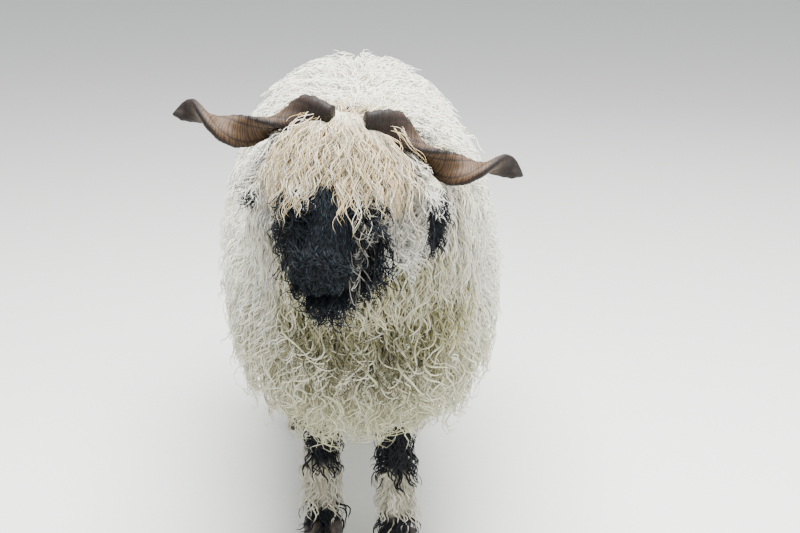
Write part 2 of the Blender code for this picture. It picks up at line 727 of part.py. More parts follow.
def leg_rows(name):
    """The leg's stations, with its foot moved by its step and its top left in place."""
    rows = np.array(FRONT_LEG if "front" in name else HIND_LEG)
    rows[:, 1] += STEP[name] * np.clip(1 - rows[:, 2] / rows[0, 2], 0, 1)
    if "right" in name:
        rows[:, 0] *= -1
    if "front" in name:
        rows[:, 0] += FRONT_SHIFT
    return rows


def column_grid(rows, count, sides):
    """Round rings about a line of stations x, y, z, radius, with level end rings."""
    line = through(rows, count)
    centres, radius = line[:, :3], line[:, 3]
    way = unit(np.gradient(centres, axis=0))
    way[0] = way[-1] = (0, 0, -1)
    side = unit(np.cross(way, [0.0, 1.0, 0.0]))
    front = np.cross(side, way)
    return rings_along(centres, side, front, radius, radius, sides)


def leg_coat(grid, top):
    """Locks that hang down the leg, from where it leaves the fleece to the coronet."""
    for here, normal in rooted(grid, 0.078):
        if here[2] > top or here[2] < 0.062:
            continue
        length = min(0.082, here[2] - FLOOR_CLEAR)
        wave = chance.choice((-1, 1)) * 0.005
        yield lock(here, normal, DOWN, length, 0.056, 0.010, wave, 0.008, short=True)


def claw(centre, side):
    """One claw of the cloven foot: a wall from the coronet down to a flat sole."""
    heights = np.array([CORONET_HEIGHT - GAP, 0.018, 0.0])
    lengths = CLAW_LENGTH * np.array([0.62, 0.90, 1.0]) / 2
    widths = CLAW_HALF_WIDTH * np.array([0.92, 1.0, 0.97])
    toes = np.array([0.004, -0.004, -0.010])
    angle = np.arange(8) * math.tau / 8
    point = 1 - 0.35 * np.maximum(-np.sin(angle), 0) ** 2
    out = np.cos(angle) * point
    rings = np.stack(
        [
            centre[0] + side * CLAW_APART + out[None, :] * widths[:, None],
            centre[1] + toes[:, None] + np.sin(angle)[None, :] * lengths[:, None],
            np.repeat(heights[:, None], 8, axis=1),
        ],
        axis=2,
    )
    return closed_loft(rings)


def heel(centre):
    """The soft bulb that joins the two claws behind."""
    points, faces = ball((0, 0, 0), 1.0, turns=8, levels=3)
    return points * (0.020, 0.013, 0.012) + np.array([centre[0], centre[1] + 0.017, 0.024]), faces


def tail_rings():
    y, z, radius = through(TAIL, TAIL_RINGS).T
    centres = np.stack([np.zeros_like(y), y, z], axis=1)
    way = unit(np.gradient(centres, axis=0))
    side = np.tile(LATERAL, (len(y), 1))
    up = unit(np.cross(way, side))
    return rings_along(centres, side, up, radius, radius, TAIL_SIDES)


def tail_coat():
    """Locks that hang down the dock, all round it below the rump."""
    for here, normal in rooted(tail_rings(), 0.064):
        if here[2] > 0.60 or here[2] < 0.41 or normal[1] < -0.2:
            continue
        wave = chance.choice((-1, 1)) * 0.006
        yield lock(here, normal, DOWN, 0.085, 0.048, 0.012, wave, 0.008, short=True)


def make_body():
    """Head, neck and torso modelled as one, then parted by two thin cuts."""
    body = solid("body", closed_loft(torso_grid(FLEECE_DEPTH, TORSO_RINGS, TORSO_SIDES)))
    cores = [
        closed_loft(neck_grid(FLEECE_DEPTH * 0.8, NECK_RINGS, NECK_SIDES)),
        closed_loft(head_grid(SKULL_OUTLINE, SKULL_RINGS, SKULL_SIDES)),
        closed_loft(head_grid(CHEEK_OUTLINE, CHEEK_RINGS, SKULL_SIDES)),
    ]
    for side in (1, -1):
        eye = on_head(side * EYE_OUT, EYE_BEHIND_NOSE, EYE_ABOVE_AXIS)
        cores.append(ball(turned(eye[None])[0], LID_RADIUS))
    coat = [*torso_coat(), *skirt(), *bib(), *neck_coat(), *forelock(), *cheeks(), *muzzle_wool()]
    boolean(body, [solid("piece", shape) for shape in cores + coat], "UNION")
    torso = copy_of(body, "torso", "fleece")
    neck = copy_of(body, "neck", "fleece")
    head = copy_of(body, "head", "black_wool")
    bpy.data.objects.remove(body)
    return torso, neck, head


def head_features(move):
    """The eyes, horns and ears as their own solids, and the cutters of their sockets."""
    cutters = []
    for side, name in ((1, "left"), (-1, "right")):
        eye = on_head(side * EYE_OUT, EYE_BEHIND_NOSE, EYE_ABOVE_AXIS)
        solid(f"eye_{name}", ball(eye, EYE_RADIUS), "eye", move)
        solid(f"horn_{name}", horn(side), "horn", move)
        solid(f"ear_{name}", ear(side), "black_wool", move)
        cutters.append(solid("eye_hole", ball(eye, EYE_RADIUS), move=move, grow=GAP))
        cutters.append(solid("horn_hole", horn(side), move=move, grow=GAP))
        cutters.append(solid("ear_hole", ear(side), move=move, grow=GAP))
    return cutters


def face_cutters(move):
    """The opening between the lids, the nostrils and the line of the mouth."""
    cutters = []
    for side in (1, -1):
        eye = on_head(side * EYE_OUT, EYE_BEHIND_NOSE, EYE_ABOVE_AXIS)
        look = LATERAL * side * 0.86 + DORSAL * 0.42 + FORWARD * 0.28
        cutters.append(solid("lids", rod(eye, look, DORSAL, 0.06, *EYE_OPENING), move=move))
        out, behind, above = NOSTRIL
        nostril = on_head(side * out, behind, above)
        inward = -FORWARD * 0.85 - LATERAL * side * 0.25
        wide, tall, deep = NOSTRIL_SIZE
        mouth = rod(nostril - inward * 0.012, inward, DORSAL + LATERAL * side * 0.7, 0.012 + deep, wide, tall)
        cutters.append(solid("nostril", mouth, move=move))
    back, front = on_head(0, MOUTH_LENGTH, -MOUTH_BELOW_AXIS), on_head(0, -0.02, -MOUTH_BELOW_AXIS)
    slit = rod(back, front - back, DORSAL, np.linalg.norm(front - back), 0.08, MOUTH_GAP / 2, sides=4)
    cutters.append(solid("mouth", slit, move=move))
    return cutters


def make_limbs():
    """Legs, hooves and tail, and the cutters of their sockets in the torso."""
    cutters = []
    for name in STEP:
        rows = leg_rows(name)
        grid = column_grid(rows, LEG_RINGS, LEG_SIDES)
        leg = solid(f"leg_{name}", closed_loft(grid), "fleece")
        top = FRONT_WOOL_TOP if "front" in name else HIND_WOOL_TOP
        boolean(leg, [solid("lock", shape) for shape in leg_coat(grid, top)], "UNION")
        cutters.append(solid("leg_hole", closed_loft(grid), grow=GAP))
        claws = [claw(rows[-1], side) for side in (1, -1)]
        hoof = solid(f"hoof_{name}", heel(rows[-1]), "hoof")
        boolean(leg, [solid("foot_hole", shape, grow=GAP) for shape in (*claws, heel(rows[-1]))], "DIFFERENCE")
        boolean(hoof, [solid("claw", shape) for shape in claws], "UNION")
    tail = solid("tail", closed_loft(tail_rings()), "fleece")
    boolean(tail, [solid("lock", shape) for shape in tail_coat()], "UNION")
    cutters.append(solid("tail_hole", closed_loft(tail_rings()), grow=GAP))
    return cutters


def centre_on_feet():
    """Sets the middle of the animal's box over the origin."""
    bpy.context.view_layer.update()
    corners = np.array([Vector(c) for o in bpy.data.objects for c in o.bound_box])
    middle = (corners.min(0) + corners.max(0)) / 2
    for o in bpy.data.objects:
        o.data.transform(Matrix.Translation((-middle[0], -middle[1], 0.0)))


for old in list(bpy.data.objects):
    bpy.data.objects.remove(old)
torso, neck, head = make_body()
limb_holes = make_limbs()
boolean(torso, [beyond(TORSO_PLANE, forward=True), *limb_holes], "DIFFERENCE")
turn = head_turn()
openings = [*head_features(turn), *face_cutters(turn)]
boolean(head, [beyond(HEAD_PLANE, forward=False), *openings], "DIFFERENCE")
ends = [beyond(HEAD_PLANE, forward=True), beyond(TORSO_PLANE, forward=False)]
ears = [solid("ear_hole", ear(side), move=turn, grow=GAP) for side in (1, -1)]
boolean(neck, [*ends, *ears], "DIFFERENCE")
for coated in list(bpy.data.objects):
    if coated.name.startswith(("torso", "neck", "head", "leg", "tail", "hoof")):
        merge_flat_faces(coated)
centre_on_feet()
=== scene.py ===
"""Valais Blacknose ewe, life size: the looks over the solids of her body.

Points are worked out in the drawing of the solids, which faces -Y with her feet on Z = 0, and
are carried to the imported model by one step, FROM_DRAWING.
"""

import math

import bpy
import numpy as np
from mathutils import Matrix, Vector
from mathutils.bvhtree import BVHTree
from mathutils.kdtree import KDTree


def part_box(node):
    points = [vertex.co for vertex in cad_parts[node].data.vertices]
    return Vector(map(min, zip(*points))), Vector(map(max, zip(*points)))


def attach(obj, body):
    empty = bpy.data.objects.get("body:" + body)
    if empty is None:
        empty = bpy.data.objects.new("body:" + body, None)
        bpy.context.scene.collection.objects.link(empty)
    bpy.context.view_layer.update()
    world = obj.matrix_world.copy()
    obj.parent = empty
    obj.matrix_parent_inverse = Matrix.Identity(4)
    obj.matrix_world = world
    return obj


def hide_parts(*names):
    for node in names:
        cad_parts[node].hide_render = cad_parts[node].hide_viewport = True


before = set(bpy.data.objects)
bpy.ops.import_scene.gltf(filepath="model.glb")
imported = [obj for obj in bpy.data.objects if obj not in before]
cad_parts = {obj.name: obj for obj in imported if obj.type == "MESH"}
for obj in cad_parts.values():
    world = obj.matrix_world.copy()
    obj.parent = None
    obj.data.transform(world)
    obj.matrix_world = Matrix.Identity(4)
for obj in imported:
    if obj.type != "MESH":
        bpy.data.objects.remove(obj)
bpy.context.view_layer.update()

# The skin of the body
# One hide covers neck, trunk, rump, legs and tail. It is never seen bare: it is drawn 36 mm under
# the fleece's outline, as lofts along the spine and limbs that are grown together and smoothed.

TORSO_OUTLINE = [
    (-0.285, 0.530, 0.400, 0.070, 0.460),
    (-0.262, 0.620, 0.320, 0.140, 0.470),
    (-0.195, 0.715, 0.290, 0.192, 0.480),
    (-0.080, 0.780, 0.282, 0.228, 0.495),
    (0.080, 0.795, 0.285, 0.244, 0.505),
    (0.260, 0.797, 0.288, 0.251, 0.510),
    (0.440, 0.794, 0.298, 0.250, 0.515),
    (0.600, 0.790, 0.325, 0.240, 0.525),
    (0.730, 0.772, 0.370, 0.205, 0.545),
    (0.815, 0.715, 0.440, 0.150, 0.570),
    (0.850, 0.655, 0.520, 0.075, 0.590),
]
NECK_OUTLINE = [
    (0.000, 0.080, 0.560, 0.150, 0.160),
    (0.000, -0.050, 0.590, 0.190, 0.185),
    (-0.006, -0.160, 0.632, 0.185, 0.176),
    (-0.018, -0.245, 0.690, 0.164, 0.150),
    (-0.030, -0.310, 0.740, 0.142, 0.120),
    (-0.036, -0.350, 0.772, 0.105, 0.080),
]
FRONT_LEG = [
    (0.078, 0.060, 0.480, 0.046),
    (0.074, 0.062, 0.400, 0.040),
    (0.068, 0.040, 0.330, 0.034),
    (0.063, 0.012, 0.262, 0.032),
    (0.063, 0.018, 0.180, 0.026),
    (0.063, 0.016, 0.092, 0.030),
    (0.063, -0.006, 0.047, 0.031),
]
HIND_LEG = [
    (0.112, 0.590, 0.500, 0.070),
    (0.112, 0.630, 0.420, 0.062),
    (0.108, 0.684, 0.345, 0.046),
    (0.104, 0.712, 0.285, 0.040),
    (0.102, 0.700, 0.190, 0.032),
    (0.100, 0.690, 0.092, 0.033),
    (0.100, 0.664, 0.047, 0.033),
]
TAIL = [
    (0.780, 0.680, 0.030),
    (0.826, 0.682, 0.034),
    (0.866, 0.640, 0.036),
    (0.880, 0.570, 0.036),
    (0.884, 0.490, 0.032),
    (0.886, 0.420, 0.020),
    (0.887, 0.392, 0.008),
]
STEP = {"front_left": -0.055, "front_right": 0.020, "hind_left": 0.030, "hind_right": -0.030}
FRONT_SHIFT = -0.013
FLEECE_DEPTH = 0.036
LEG_WOOL_DEPTH = 0.004
SKIN_VOXEL = 0.009


def unit(v):
    return v / np.maximum(np.linalg.norm(v, axis=-1, keepdims=True), 1e-12)


def through(rows, count):
    """A Catmull-Rom curve through the rows, read at count even steps of its parameter."""
    rows = np.asarray(rows, float)
    ends = np.vstack([2 * rows[0] - rows[1], rows, 2 * rows[-1] - rows[-2]])
    at = np.linspace(0, len(rows) - 1, count)
    first = np.minimum(at.astype(int), len(rows) - 2)
    t = (at - first)[:, None]
    p0, p1, p2, p3 = (ends[first + k] for k in range(4))
    bend = (2 * p0 - 5 * p1 + 4 * p2 - p3) * t**2 + (3 * p1 - p0 - 3 * p2 + p3) * t**3
    return 0.5 * (2 * p1 + (p2 - p0) * t + bend)


def tube_faces(rings, sides, first=0):
    """The triangles between neighbouring rings of points that each close on themselves."""
    i, j = np.meshgrid(np.arange(rings - 1), np.arange(sides), indexing="ij")
    a, b = i * sides + j, i * sides + (j + 1) % sides
    quads = np.stack([a, b, b + sides, a + sides], axis=-1).reshape(-1, 4) + first
    return np.vstack([quads[:, [0, 1, 2]], quads[:, [0, 2, 3]]])


def closed_loft(rings):
    """Points and triangles of a closed surface over rings, each end fanned to its middle."""
    count, sides, _ = rings.shape
    points = np.vstack([rings.reshape(-1, 3), rings[0].mean(0), rings[-1].mean(0)])
    j = np.arange(sides)
    k = (j + 1) % sides
    top = (count - 1) * sides
    start = np.stack([np.full(sides, count * sides), k, j], axis=1)
    end = np.stack([np.full(sides, count * sides + 1), top + j, top + k], axis=1)
    return points, np.vstack([tube_faces(count, sides), start, end])


def rings_along(centres, side, up, half_width, half_height, sides):
    """Elliptical rings about centres: cos of the turn along side and sin of it along up."""
    turn = np.arange(sides) * math.tau / sides
    across = np.cos(turn)[None, :, None] * side[:, None, :] * half_width[:, None, None]
    rise = np.sin(turn)[None, :, None] * up[:, None, :] * half_height[:, None, None]
    return centres[:, None, :] + across + rise


def torso_rings(inset, rings, sides):
    """Egg-shaped sections across Y: a superellipse, fuller below its widest height than above."""
    y, top, bottom, half, widest = through(TORSO_OUTLINE, rings).T
    middle = (y[0] + y[-1]) / 2
    y = middle + (y - middle) * (1 - 2 * inset / (y[-1] - y[0]))
    shrink = np.minimum(inset, half * 0.45)
    top, bottom, half = top - shrink, bottom + shrink, half - shrink
    turn = np.arange(sides) * math.tau / sides
    up = np.cos(turn)
    fullness = np.where(up > 0, 2.1, 2.5)
    across = np.sign(np.sin(turn)) * np.abs(np.sin(turn)) ** (2 / fullness)
    rise = np.sign(up) * np.abs(up) ** (2 / fullness)
    reach = np.where(up[None, :] > 0, (top - widest)[:, None], (widest - bottom)[:, None])
    height = widest[:, None] + rise[None, :] * reach
    along = np.repeat(y[:, None], sides, axis=1)
    return np.stack([across[None, :] * half[:, None], along, height], axis=2)


def round_rings(centres, half_width, half_height, sides):
    """Sections square to a line of centres that runs mostly in the Y-Z plane."""
    way = unit(np.gradient(centres, axis=0))
    side = np.tile([1.0, 0.0, 0.0], (len(centres), 1))
    up = unit(np.cross(way, side))
    return rings_along(centres, side, up, half_width, half_height, sides)


def neck_rings(inset, rings, sides):
    x, y, z, half, depth = through(NECK_OUTLINE, rings).T
    return round_rings(np.stack([x, y, z], axis=1), half - inset, depth - inset, sides)


def tail_rings(rings, sides):
    y, z, radius = through(TAIL, rings).T
    centres = np.stack([np.zeros_like(y), y, z], axis=1)
    return round_rings(centres, radius - LEG_WOOL_DEPTH, radius - LEG_WOOL_DEPTH, sides)


def leg_stations(name):
    """Middle and radius of a leg from top to coronet, its foot moved by the animal's step."""
    rows = np.array(FRONT_LEG if "front" in name else HIND_LEG)
    rows[:, 1] += STEP[name] * np.clip(1 - rows[:, 2] / rows[0, 2], 0, 1)
    if "right" in name:
        rows[:, 0] *= -1
    if "front" in name:
        rows[:, 0] += FRONT_SHIFT
    return rows


def leg_rings(name, rings, sides):
    line = through(leg_stations(name), rings)
    centres, radius = line[:, :3], line[:, 3] - LEG_WOOL_DEPTH
    way = unit(np.gradient(centres, axis=0))
    way[0] = way[-1] = (0, 0, -1)
    side = unit(np.cross(way, [0.0, 1.0, 0.0]))
    return rings_along(centres, side, np.cross(side, way), radius, radius, sides)


def facing_out(points, triangles):
    """The triangles of a closed surface, turned round if its signed volume is negative."""
    corners = points[triangles]
    volume = np.einsum("ij,ij->i", corners[:, 0], np.cross(corners[:, 1], corners[:, 2])).sum()
    return triangles[:, ::-1] if volume < 0 else triangles


def joined(shapes):
    """Several (points, triangles) as one, each facing out."""
    starts = np.cumsum([0] + [len(points) for points, _ in shapes[:-1]])
    triangles = np.vstack([facing_out(*shape) + start for shape, start in zip(shapes, starts)])
    return np.vstack([points for points, _ in shapes]), triangles


def mesh_of(name, points, triangles):
    """A smooth mesh from arrays, facing out."""
    triangles = facing_out(points, triangles)
    mesh = bpy.data.meshes.new(name)
    mesh.vertices.add(len(points))
    mesh.vertices.foreach_set("co", np.ascontiguousarray(points, np.float32).ravel())
    mesh.loops.add(triangles.size)
    mesh.loops.foreach_set("vertex_index", np.ascontiguousarray(triangles, np.int32).ravel())
    mesh.polygons.add(len(triangles))
    mesh.polygons.foreach_set("loop_start", np.arange(len(triangles), dtype=np.int32) * 3)
    mesh.update(calc_edges=True)
    mesh.shade_smooth()
    return mesh


def grown_together(shape, voxel, smoothing):
    """One outer surface over overlapping lofts: remeshed in cubes of the voxel, then relaxed."""
    blank = bpy.data.objects.new("blank", mesh_of("blank", *shape))
    bpy.context.scene.collection.objects.link(blank)
    remesh = blank.modifiers.new("remesh", "REMESH")
    remesh.mode = "VOXEL"
    remesh.voxel_size = voxel
    relax = blank.modifiers.new("relax", "SMOOTH")
    relax.factor = 0.5
    relax.iterations = smoothing
    graph = bpy.context.evaluated_depsgraph_get()
    mesh = blank.evaluated_get(graph).to_mesh()
    mesh.calc_loop_triangles()
    points = np.empty(len(mesh.vertices) * 3, np.float32)
    mesh.vertices.foreach_get("co", points)
    faces = np.empty(len(mesh.loop_triangles) * 3, np.int32)
    mesh.loop_triangles.foreach_get("vertices", faces)
    bpy.data.objects.remove(blank)
    return points.reshape(-1, 3).astype(float), faces.reshape(-1, 3)


body_lofts = [
    closed_loft(torso_rings(FLEECE_DEPTH, 60, 72)),
    closed_loft(neck_rings(FLEECE_DEPTH * 0.8, 40, 48)),
    closed_loft(tail_rings(30, 20)),
    *(closed_loft(leg_rings(name, 40, 24)) for name in STEP),
]

# The head
# A lean skull with a straight nose, narrow mouth and slit nostrils, held low and tilted. It is a
# loft along the axis of the face, with the openings pressed in and the lids rolled round the eyes.

POLL = np.array([-0.040, -0.380, 0.836])
HEAD_PITCH = math.radians(58.0)
HEAD_ROLL = math.radians(9.5)
HEAD_YAW = math.radians(7.0)
FORWARD = np.array([0.0, -math.cos(HEAD_PITCH), -math.sin(HEAD_PITCH)])
DORSAL = np.array([0.0, -math.sin(HEAD_PITCH), math.cos(HEAD_PITCH)])
LATERAL = np.array([1.0, 0.0, 0.0])
NOSE_TIP = POLL - DORSAL * 0.060 + FORWARD * 0.250
HEAD_TURN = np.array(Matrix.Rotation(-HEAD_YAW, 3, "Z") @ Matrix.Rotation(HEAD_ROLL, 3, "Y"))
SKULL_OUTLINE = [
    (0.0005, 0.006, 0.005, 0.005, 0.004),
    (0.003, 0.018, 0.015, 0.016, 0.004),
    (0.012, 0.030, 0.024, 0.026, 0.002),
    (0.030, 0.039, 0.033, 0.036, 0.000),
    (0.060, 0.041, 0.037, 0.044, 0.000),
    (0.092, 0.048, 0.047, 0.052, 0.000),
    (0.122, 0.060, 0.054, 0.062, 0.000),
    (0.156, 0.071, 0.060, 0.070, 0.000),
    (0.195, 0.075, 0.064, 0.076, 0.002),
    (0.230, 0.072, 0.062, 0.078, 0.008),
    (0.258, 0.060, 0.050, 0.070, 0.020),
    (0.278, 0.036, 0.030, 0.045, 0.034),
]
CHEEK_OUTLINE = [
    (0.128, 0.062, 0.040, 0.082, 0.000),
    (0.155, 0.078, 0.056, 0.088, 0.000),
    (0.195, 0.086, 0.070, 0.092, 0.002),
    (0.235, 0.084, 0.072, 0.092, 0.008),
    (0.268, 0.066, 0.052, 0.080, 0.020),
]
EYE_RADIUS = 0.0140
EYE_PLACE = (0.0500, 0.122, 0.0285)
LID_THICKNESS = 0.0028


def turned(points):
    """Points of the level head, tilted and turned about the poll."""
    return (points - POLL) @ HEAD_TURN.T + POLL


def on_head(out, behind, above):
    """Points from their distance out from the middle, behind the nose and above the face's axis."""
    out, behind, above = (np.asarray(v, float)[..., None] for v in (out, behind, above))
    return turned(NOSE_TIP - FORWARD * behind + LATERAL * out + DORSAL * above)


def in_head(points):
    """The reverse of on_head: out, behind and above of each point."""
    level = (points - POLL) @ HEAD_TURN + POLL - NOSE_TIP
    return level @ LATERAL, -(level @ FORWARD), level @ DORSAL


def head_directions(out, behind, above):
    own = np.array([LATERAL, -FORWARD, DORSAL]) @ HEAD_TURN.T
    return unit(np.stack(np.broadcast_arrays(out, behind, above), axis=-1) @ own)


def head_rings(outline, rings, sides):
    behind, half, above, below, drop = through(outline, rings).T
    turn = np.arange(sides) * math.tau / sides
    out = np.cos(turn)[None, :] * half[:, None]
    high = np.maximum(np.sin(turn), 0)[None, :] * above[:, None]
    low = np.minimum(np.sin(turn), 0)[None, :] * below[:, None]
    return out, np.repeat(behind[:, None], sides, axis=1), high + low - drop[:, None]


def pressed(out, behind, above, place, size, depth):
    """How far an oval dent presses in: depth times the bell curve of the distance over its size."""
    away = sum(((a - b) / c) ** 2 for a, b, c in zip((out, behind, above), place, size))
    return depth * np.exp(-away)


def face_skin():
    """The skull's loft with nostrils, mouth, eye sockets and cheek bones pressed into or out of it."""
    out, behind, above = head_rings(SKULL_OUTLINE, 150, 176)
    shrink = np.ones_like(out)
    mouth = -0.0165 - 0.10 * np.maximum(behind - 0.02, 0)
    shrink -= 0.055 * np.exp(-(((above - mouth) / 0.0016) ** 2)) * (behind < 0.058)
    shrink += 0.05 * np.exp(-(((above - mouth - 0.006) / 0.004) ** 2)) * (behind < 0.040)
    shrink += pressed(np.abs(out), behind, above, (0.055, 0.150, 0.035), (0.03, 0.02, 0.014), 0.09)
    shrink -= pressed(np.abs(out), behind, above, (0.030, 0.095, 0.040), (0.02, 0.03, 0.02), 0.05)
    back = pressed(np.abs(out), behind, above, (0.0095, 0.006, 0.005), (0.0032, 0.012, 0.0060), 0.006)
    back += pressed(np.abs(out), behind, above, (0.0150, 0.009, 0.011), (0.0036, 0.012, 0.0026), 0.004)
    back += pressed(out, behind, above, (0.0, 0.003, -0.004), (0.0013, 0.010, 0.010), 0.0015)
    out, above, behind = out * shrink, above * shrink, behind + back
    for side in (1, -1):
        place = np.array(EYE_PLACE) * (side, 1, 1)
        away = np.stack([out - place[0], behind - place[1], above - place[2]], axis=-1)
        far = np.linalg.norm(away, axis=-1)
        facing = unit(away) @ unit(np.array([side * 0.86, -0.28, 0.42]))
        socket = EYE_RADIUS + 0.0030 - 0.0075 * np.clip((facing - 0.70) / 0.10, 0, 1)
        near = np.clip((0.021 - far) / 0.005, 0, 1) * (facing > 0)
        moved = unit(away) * (socket * near + far * (1 - near))[..., None] + place
        out, behind, above = moved[..., 0], moved[..., 1], moved[..., 2]
    return closed_loft(on_head(out, behind, above))


def eye_frame(side):
    """The eye's middle, the way it looks, its long axis along the face and its upward axis."""
    place = np.array(EYE_PLACE) * (side, 1, 1)
    look = head_directions(side * 0.86, -0.28, 0.42)
    long = head_directions(side * 0.25, -0.96, -0.10)
    long = unit(long - look * (long @ look))
    return on_head(*place), look, long, np.cross(look, long) * side


def lids(side):
    """A soft roll carried round the almond opening, on a ball a little larger than the eye."""
    middle, look, long, up = eye_frame(side)
    turn = np.linspace(0, math.tau, 72, endpoint=False)
    wide = 0.0112 * np.cos(turn)
    tall = 0.0078 * np.sin(turn) * np.abs(np.sin(turn)) ** 0.35
    flat = wide[:, None] * long + tall[:, None] * up
    reach = np.sqrt(np.maximum((EYE_RADIUS + 0.0004) ** 2 - wide**2 - tall**2, 0))
    centres = middle + flat + reach[:, None] * look
    outward = unit(centres - middle)
    along = unit(np.roll(centres, -1, axis=0) - np.roll(centres, 1, axis=0))
    across = unit(np.cross(outward, along))
    thick = LID_THICKNESS * (0.75 + 0.25 * np.sin(turn))
    rings = rings_along(centres, across, outward, thick, thick * 0.7, 10)
    points = rings.reshape(-1, 3)
    faces = tube_faces(73, 10) % len(points)
    return points, faces


cheeks = closed_loft(on_head(*head_rings(CHEEK_OUTLINE, 30, 40)))
body_skin = grown_together(joined([*body_lofts, cheeks]), SKIN_VOXEL, 6)
head_skin = joined([face_skin(), lids(1), lids(-1)])

# The ears
# Long drooping leaves of gristle, cupped forward. The left one hangs clear of the cheek and the
# right one lies back under the wool.

EAR_LINE = {
    1: [(0.060, 0.212, -0.018), (0.106, 0.200, -0.012), (0.142, 0.160, -0.002), (0.155, 0.095, -0.024)],
    -1: [(0.058, 0.212, -0.018), (0.092, 0.205, -0.030), (0.112, 0.172, -0.034), (0.120, 0.120, -0.024)],
}
EAR_HALF_WIDTH = 0.0195
EAR_THICKNESS = 0.0045
EAR_WHITE_REACH = {1: 0.098, -1: 0.096}


def ear_skin(side):
    """A leaf carried along the ear's line, cupped as the square of the distance from its rib."""
    rows = np.array(EAR_LINE[side]) * (side, 1, 1)
    level = NOSE_TIP - np.outer(rows[:, 1], FORWARD) + np.outer(rows[:, 0], LATERAL) + np.outer(rows[:, 2], DORSAL)
    line = through(level, 48)
    t = np.linspace(0, 1, 48)
    turn = np.arange(28) * math.tau / 28
    way = unit(np.gradient(line, axis=0))
    face = np.tile(unit(LATERAL * 0.75 * side + DORSAL * 0.65), (48, 1))
    wide = unit(np.cross(way, face))
    face = np.cross(wide, way)
    half = EAR_HALF_WIDTH * np.interp(t, [0, 0.25, 0.55, 0.85, 0.97, 1], [0.45, 0.80, 1.0, 0.66, 0.30, 0.08])
    across = np.cos(turn)
    thick = np.sin(turn) * EAR_THICKNESS / 2 * (1 - 0.35 * np.abs(across))
    cup = 0.75 * half[:, None] * across[None, :] ** 2 + thick[None, :]
    rings = line[:, None] + wide[:, None] * (across * half[:, None])[..., None] + face[:, None] * cup[..., None]
    return closed_loft(turned(rings))


ear_skins = joined([ear_skin(1), ear_skin(-1)])

# The skin as one piece
# Neck, trunk, limbs, face and ears are one hide with no seam, white under the fleece and black
# where the wool is black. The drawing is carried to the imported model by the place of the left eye.

TORSO_PLANE = (np.array([0.0, -0.165, 0.600]), np.array([0.0, -0.890, 0.456]))
FROM_DRAWING = np.mean(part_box("eye_left"), axis=0) - on_head(*EYE_PLACE)


def linear(colour):
    """An sRGB hex colour as linear RGBA."""
    value = np.array([int(colour[k : k + 2], 16) for k in (1, 3, 5)]) / 255
    return np.append(np.where(value <= 0.04045, value / 12.92, ((value + 0.055) / 1.055) ** 2.4), 1.0)


def eased(value, edge, width):
    """0 well below the edge and 1 well above it, by a smooth step of the given width."""
    t = np.clip((value - edge) / width + 0.5, 0, 1)
    return t * t * (3 - 2 * t)


def ragged(points, size):
    """Uneven sums of sines over space, between about -1 and 1, for borders and clumps."""
    p = points / size
    first = np.sin(p @ (3.1, 1.7, 2.3)) + np.sin(p @ (-1.9, 3.4, 1.1))
    return (first + np.sin(p @ (2.2, -1.3, 3.7)) + np.sin(p @ (-4.1, -2.9, 1.6))) / 4


def markings(points):
    """Share of black wool: nose and bridge, eye patches, knees, hocks, feet and a spot on the tail."""
    out, behind, above = in_head(points)
    behind_edge = 0.108 + 0.048 * np.exp(-((out / 0.021) ** 2)) * (above > 0) + 0.036 * (above < 0.004) * (out < 0.055)
    face = (1 - eased(behind + 0.010 * ragged(points, 0.012), behind_edge, 0.020)) * (above > -0.105)
    face = face * (np.abs(out) < 0.12) * (points[:, 1] < -0.30)
    for side in (1, -1):
        far = np.sqrt((out - side * 0.062) ** 2 + (behind - 0.118) ** 2 + (above - 0.02) ** 2)
        face = np.maximum(face, 1 - eased(far, 0.038 + 0.004 * (side > 0), 0.014))
    z, y = points[:, 2] + 0.008 * ragged(points, 0.016), points[:, 1]
    low = points[:, 2] < 0.30
    knee = eased(z, 0.145, 0.02) * (1 - eased(z, 0.252, 0.02)) * (y < 0.03)
    hock = eased(z, 0.235, 0.02) * (1 - eased(z, 0.300, 0.02)) * (y > 0.45)
    foot = 1 - eased(z, 0.080, 0.02)
    legs = np.maximum(np.maximum(knee, hock), foot) * low
    tail = 1 - eased(np.linalg.norm(points - (0, 0.872, 0.655), axis=1), 0.045, 0.02)
    return np.maximum.reduce([face, legs, tail])


def ear_black(points):
    """Share of black on the ears, which are white to some way out from their roots."""
    out = in_head(points)[0]
    far = np.full(len(points), 9.0)
    for side in (1, -1):
        place = on_head(side * EAR_LINE[side][0][0], *EAR_LINE[side][0][1:])
        far = np.minimum(far, np.linalg.norm(points - place, axis=1))
    return eased(far, np.where(out > 0, EAR_WHITE_REACH[1], EAR_WHITE_REACH[-1]), 0.03)


def tree_of(name):
    """A new material's nodes and links, and its shader."""
    material = bpy.data.materials.new(name)
    material.use_nodes = True
    tree = material.node_tree
    return material, tree, tree.nodes["Principled BSDF"]


def add(tree, kind, settings=None, **links):
    """A node with its settings, and its sockets set to values or linked to other sockets."""
    node = tree.nodes.new(kind)
    for name, value in (settings or {}).items():
        setattr(node, name, value)
    for name, value in links.items():
        socket = node.inputs[int(name[1:])] if name[1:].isdigit() else node.inputs[name.replace("_", " ")]
        if isinstance(value, bpy.types.NodeSocket):
            tree.links.new(value, socket)
        else:
            socket.default_value = value
    return node


def piece(name, points, triangles, material, slot, *replaced):
    """A finished piece of the animal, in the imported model's frame, riding on her one body."""
    obj = bpy.data.objects.new(name, mesh_of(name, points + FROM_DRAWING, triangles))
    bpy.context.scene.collection.objects.link(obj)
    obj.data.materials.append(material)
    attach(obj, "root")
    if replaced:
        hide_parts(*replaced)
    return obj


def colour_points(obj, colours):
    layer = obj.data.color_attributes.new("wool", "FLOAT_COLOR", "POINT")
    layer.data.foreach_set("color", np.ascontiguousarray(colours, np.float32).ravel())


